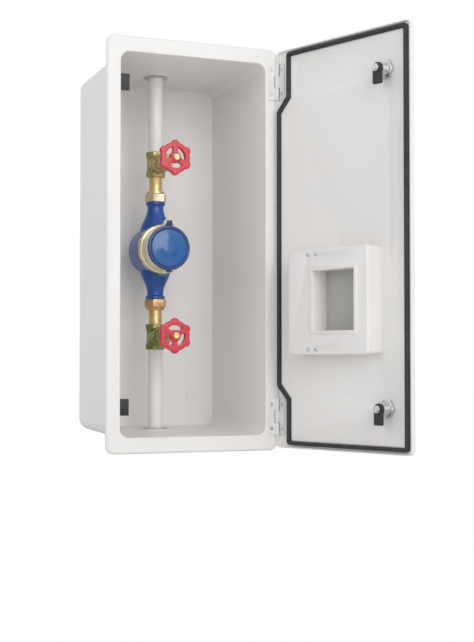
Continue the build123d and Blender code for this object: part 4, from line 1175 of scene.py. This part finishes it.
LAMP_TARGET = (0.0, -0.15, 0.0)
KEY_LAMP = (0.1, -3.6, 1.2)
SIDE_LAMP = (-3.0, -1.2, 1.2)
CAMERA_PLACE = (-0.71764, -2.03015, -0.17285)
CAMERA_FORWARD = (0.3946806, 0.9182462, 0.0324225)
WHITE = (1.0, 1.0, 1.0, 1.0)


class StageSizes(bpy.types.PropertyGroup):
    """Camera, lamps and floor."""

    focal_length: FloatProperty(
        name="Focal length", description="Lens of the camera on a 36 mm sensor",
        default=75.6, unit="CAMERA",
    )
    floor_size: FloatProperty(
        name="Floor size", description="Width of the pale floor", default=60.0, unit="LENGTH",
    )
    key_power: FloatProperty(
        name="Key lamp", description="Power of the large lamp in front", default=44.0,
        unit="POWER",
    )
    side_power: FloatProperty(
        name="Side lamp", description="Power of the lamp on the left", default=9.0,
        unit="POWER",
    )
    sky: FloatProperty(
        name="Sky", description="Strength of the even light from all sides", default=0.66,
        min=0, max=2,
    )


def soft_lamp(name, place, size, power):
    """A square lamp that faces the cabinet."""
    lamp = bpy.data.lights.new(name, "AREA")
    lamp.shape = "SQUARE"
    lamp.size = size
    lamp.energy = power
    made = work_object(name, lamp)
    made.location = place
    made.rotation_mode = "QUATERNION"
    made.rotation_quaternion = (Vector(LAMP_TARGET) - Vector(place)).to_track_quat("-Z", "Y")


class CABINET_OT_stage(bpy.types.Operator):
    """Set up the floor, the lamps, the sky and the camera"""

    bl_idname = "cabinet.stage"
    bl_label = "Stage"

    def execute(self, context):
        scene = context.scene
        sizes = scene.cabinet_stage
        self.sky(scene, sizes.sky)
        self.floor(scene, sizes.floor_size / 2)
        soft_lamp("key_lamp", KEY_LAMP, 2.2, sizes.key_power)
        soft_lamp("side_lamp", SIDE_LAMP, 1.8, sizes.side_power)
        self.camera(scene, sizes.focal_length)
        scene.view_settings.view_transform = "Standard"
        return {"FINISHED"}

    @staticmethod
    def sky(scene, strength):
        """Even light from all sides that cameras and mirrors see as white."""
        world = bpy.data.worlds.new("studio_sky")
        scene.world = world
        world.use_nodes = True
        world.node_tree.nodes.clear()
        t = Nodes(world.node_tree)
        rays = t.node("ShaderNodeLightPath").outputs
        mirrored = t.math("MAXIMUM", rays["Is Glossy Ray"], rays["Is Transmission Ray"])
        seen = t.math("MAXIMUM", rays["Is Camera Ray"], mirrored)
        even = t.node("ShaderNodeBackground", {"Color": WHITE, "Strength": strength})
        white = t.node("ShaderNodeBackground", {"Color": WHITE, "Strength": 1.0})
        mix = t.node("ShaderNodeMixShader", {0: seen, 1: even.outputs[0], 2: white.outputs[0]})
        t.node("ShaderNodeOutputWorld", {"Surface": mix.outputs[0]})

    @staticmethod
    def floor(scene, half):
        """A floor that looks nearly white and still takes the cabinet's shadow."""
        mesh = bpy.data.meshes.new("floor")
        corners = [(-half, -half), (half, -half), (half, half), (-half, half)]
        mesh.from_pydata([(x, y, FLOOR_HEIGHT) for x, y in corners], [], [(0, 1, 2, 3)])
        floor = work_object("floor", mesh)
        paint = Finish("floor_paint")
        paint.set(Base_Color=rgba((0.93, 0.93, 0.93)), Roughness=0.9, Specular_IOR_Level=0.0)
        glow = paint.node("ShaderNodeEmission", {"Color": WHITE, "Strength": 1.0})
        seen = paint.node("ShaderNodeLightPath").outputs["Is Camera Ray"]
        mix = paint.node(
            "ShaderNodeMixShader",
            {
                0: paint.math("MULTIPLY", seen, 0.97), 1: paint.shader.outputs["BSDF"],
                2: glow.outputs[0],
            },
        )
        paint.feed(paint.surface, mix.outputs[0])
        mesh.materials.append(paint.material)

    @staticmethod
    def camera(scene, focal_length):
        camera = bpy.data.cameras.new("camera")
        camera.sensor_width = 36.0
        camera.lens = focal_length
        camera.clip_start = 0.1
        camera.clip_end = 200.0
        eye = work_object("camera", camera)
        eye.location = CAMERA_PLACE
        eye.rotation_mode = "QUATERNION"
        eye.rotation_quaternion = Vector(CAMERA_FORWARD).to_track_quat("-Z", "Y")
        scene.camera = eye


class CABINET_PT_panel(bpy.types.Panel):
    """The cabinet's steps, sizes and colours"""

    bl_label = "Meter Cabinet"
    bl_idname = "CABINET_PT_panel"
    bl_space_type = "VIEW_3D"
    bl_region_type = "UI"
    bl_category = "Meter Cabinet"

    def draw(self, context):
        layout = self.layout
        for step in STEPS:
            layout.operator(step.bl_idname)
        for group in (getattr(context.scene, name) for name in GROUPS):
            box = layout.box()
            for name in group.bl_rna.properties.keys():
                if name not in ("rna_type", "name"):
                    box.prop(group, name)


STEPS = (
    CABINET_OT_finishes, CABINET_OT_castings, CABINET_OT_nuts, CABINET_OT_fasteners,
    CABINET_OT_seal, CABINET_OT_soft_edges, CABINET_OT_meter_head, CABINET_OT_stage,
)
GROUPS = {
    "cabinet_finishes": CabinetFinishes,
    "cabinet_pieces": PieceSizes,
    "cabinet_stage": StageSizes,
}


def register():
    for group in GROUPS.values():
        bpy.utils.register_class(group)
    for name, group in GROUPS.items():
        setattr(bpy.types.Scene, name, PointerProperty(type=group))
    for step in STEPS:
        bpy.utils.register_class(step)
    bpy.utils.register_class(CABINET_PT_panel)


def unregister():
    bpy.utils.unregister_class(CABINET_PT_panel)
    for step in reversed(STEPS):
        bpy.utils.unregister_class(step)
    for name in GROUPS:
        delattr(bpy.types.Scene, name)
    for group in reversed(list(GROUPS.values())):
        bpy.utils.unregister_class(group)


def main():
    register()
    for step in STEPS:
        area, name = step.bl_idname.split(".")
        getattr(getattr(bpy.ops, area), name)()


if __name__ == "__main__":
    main()
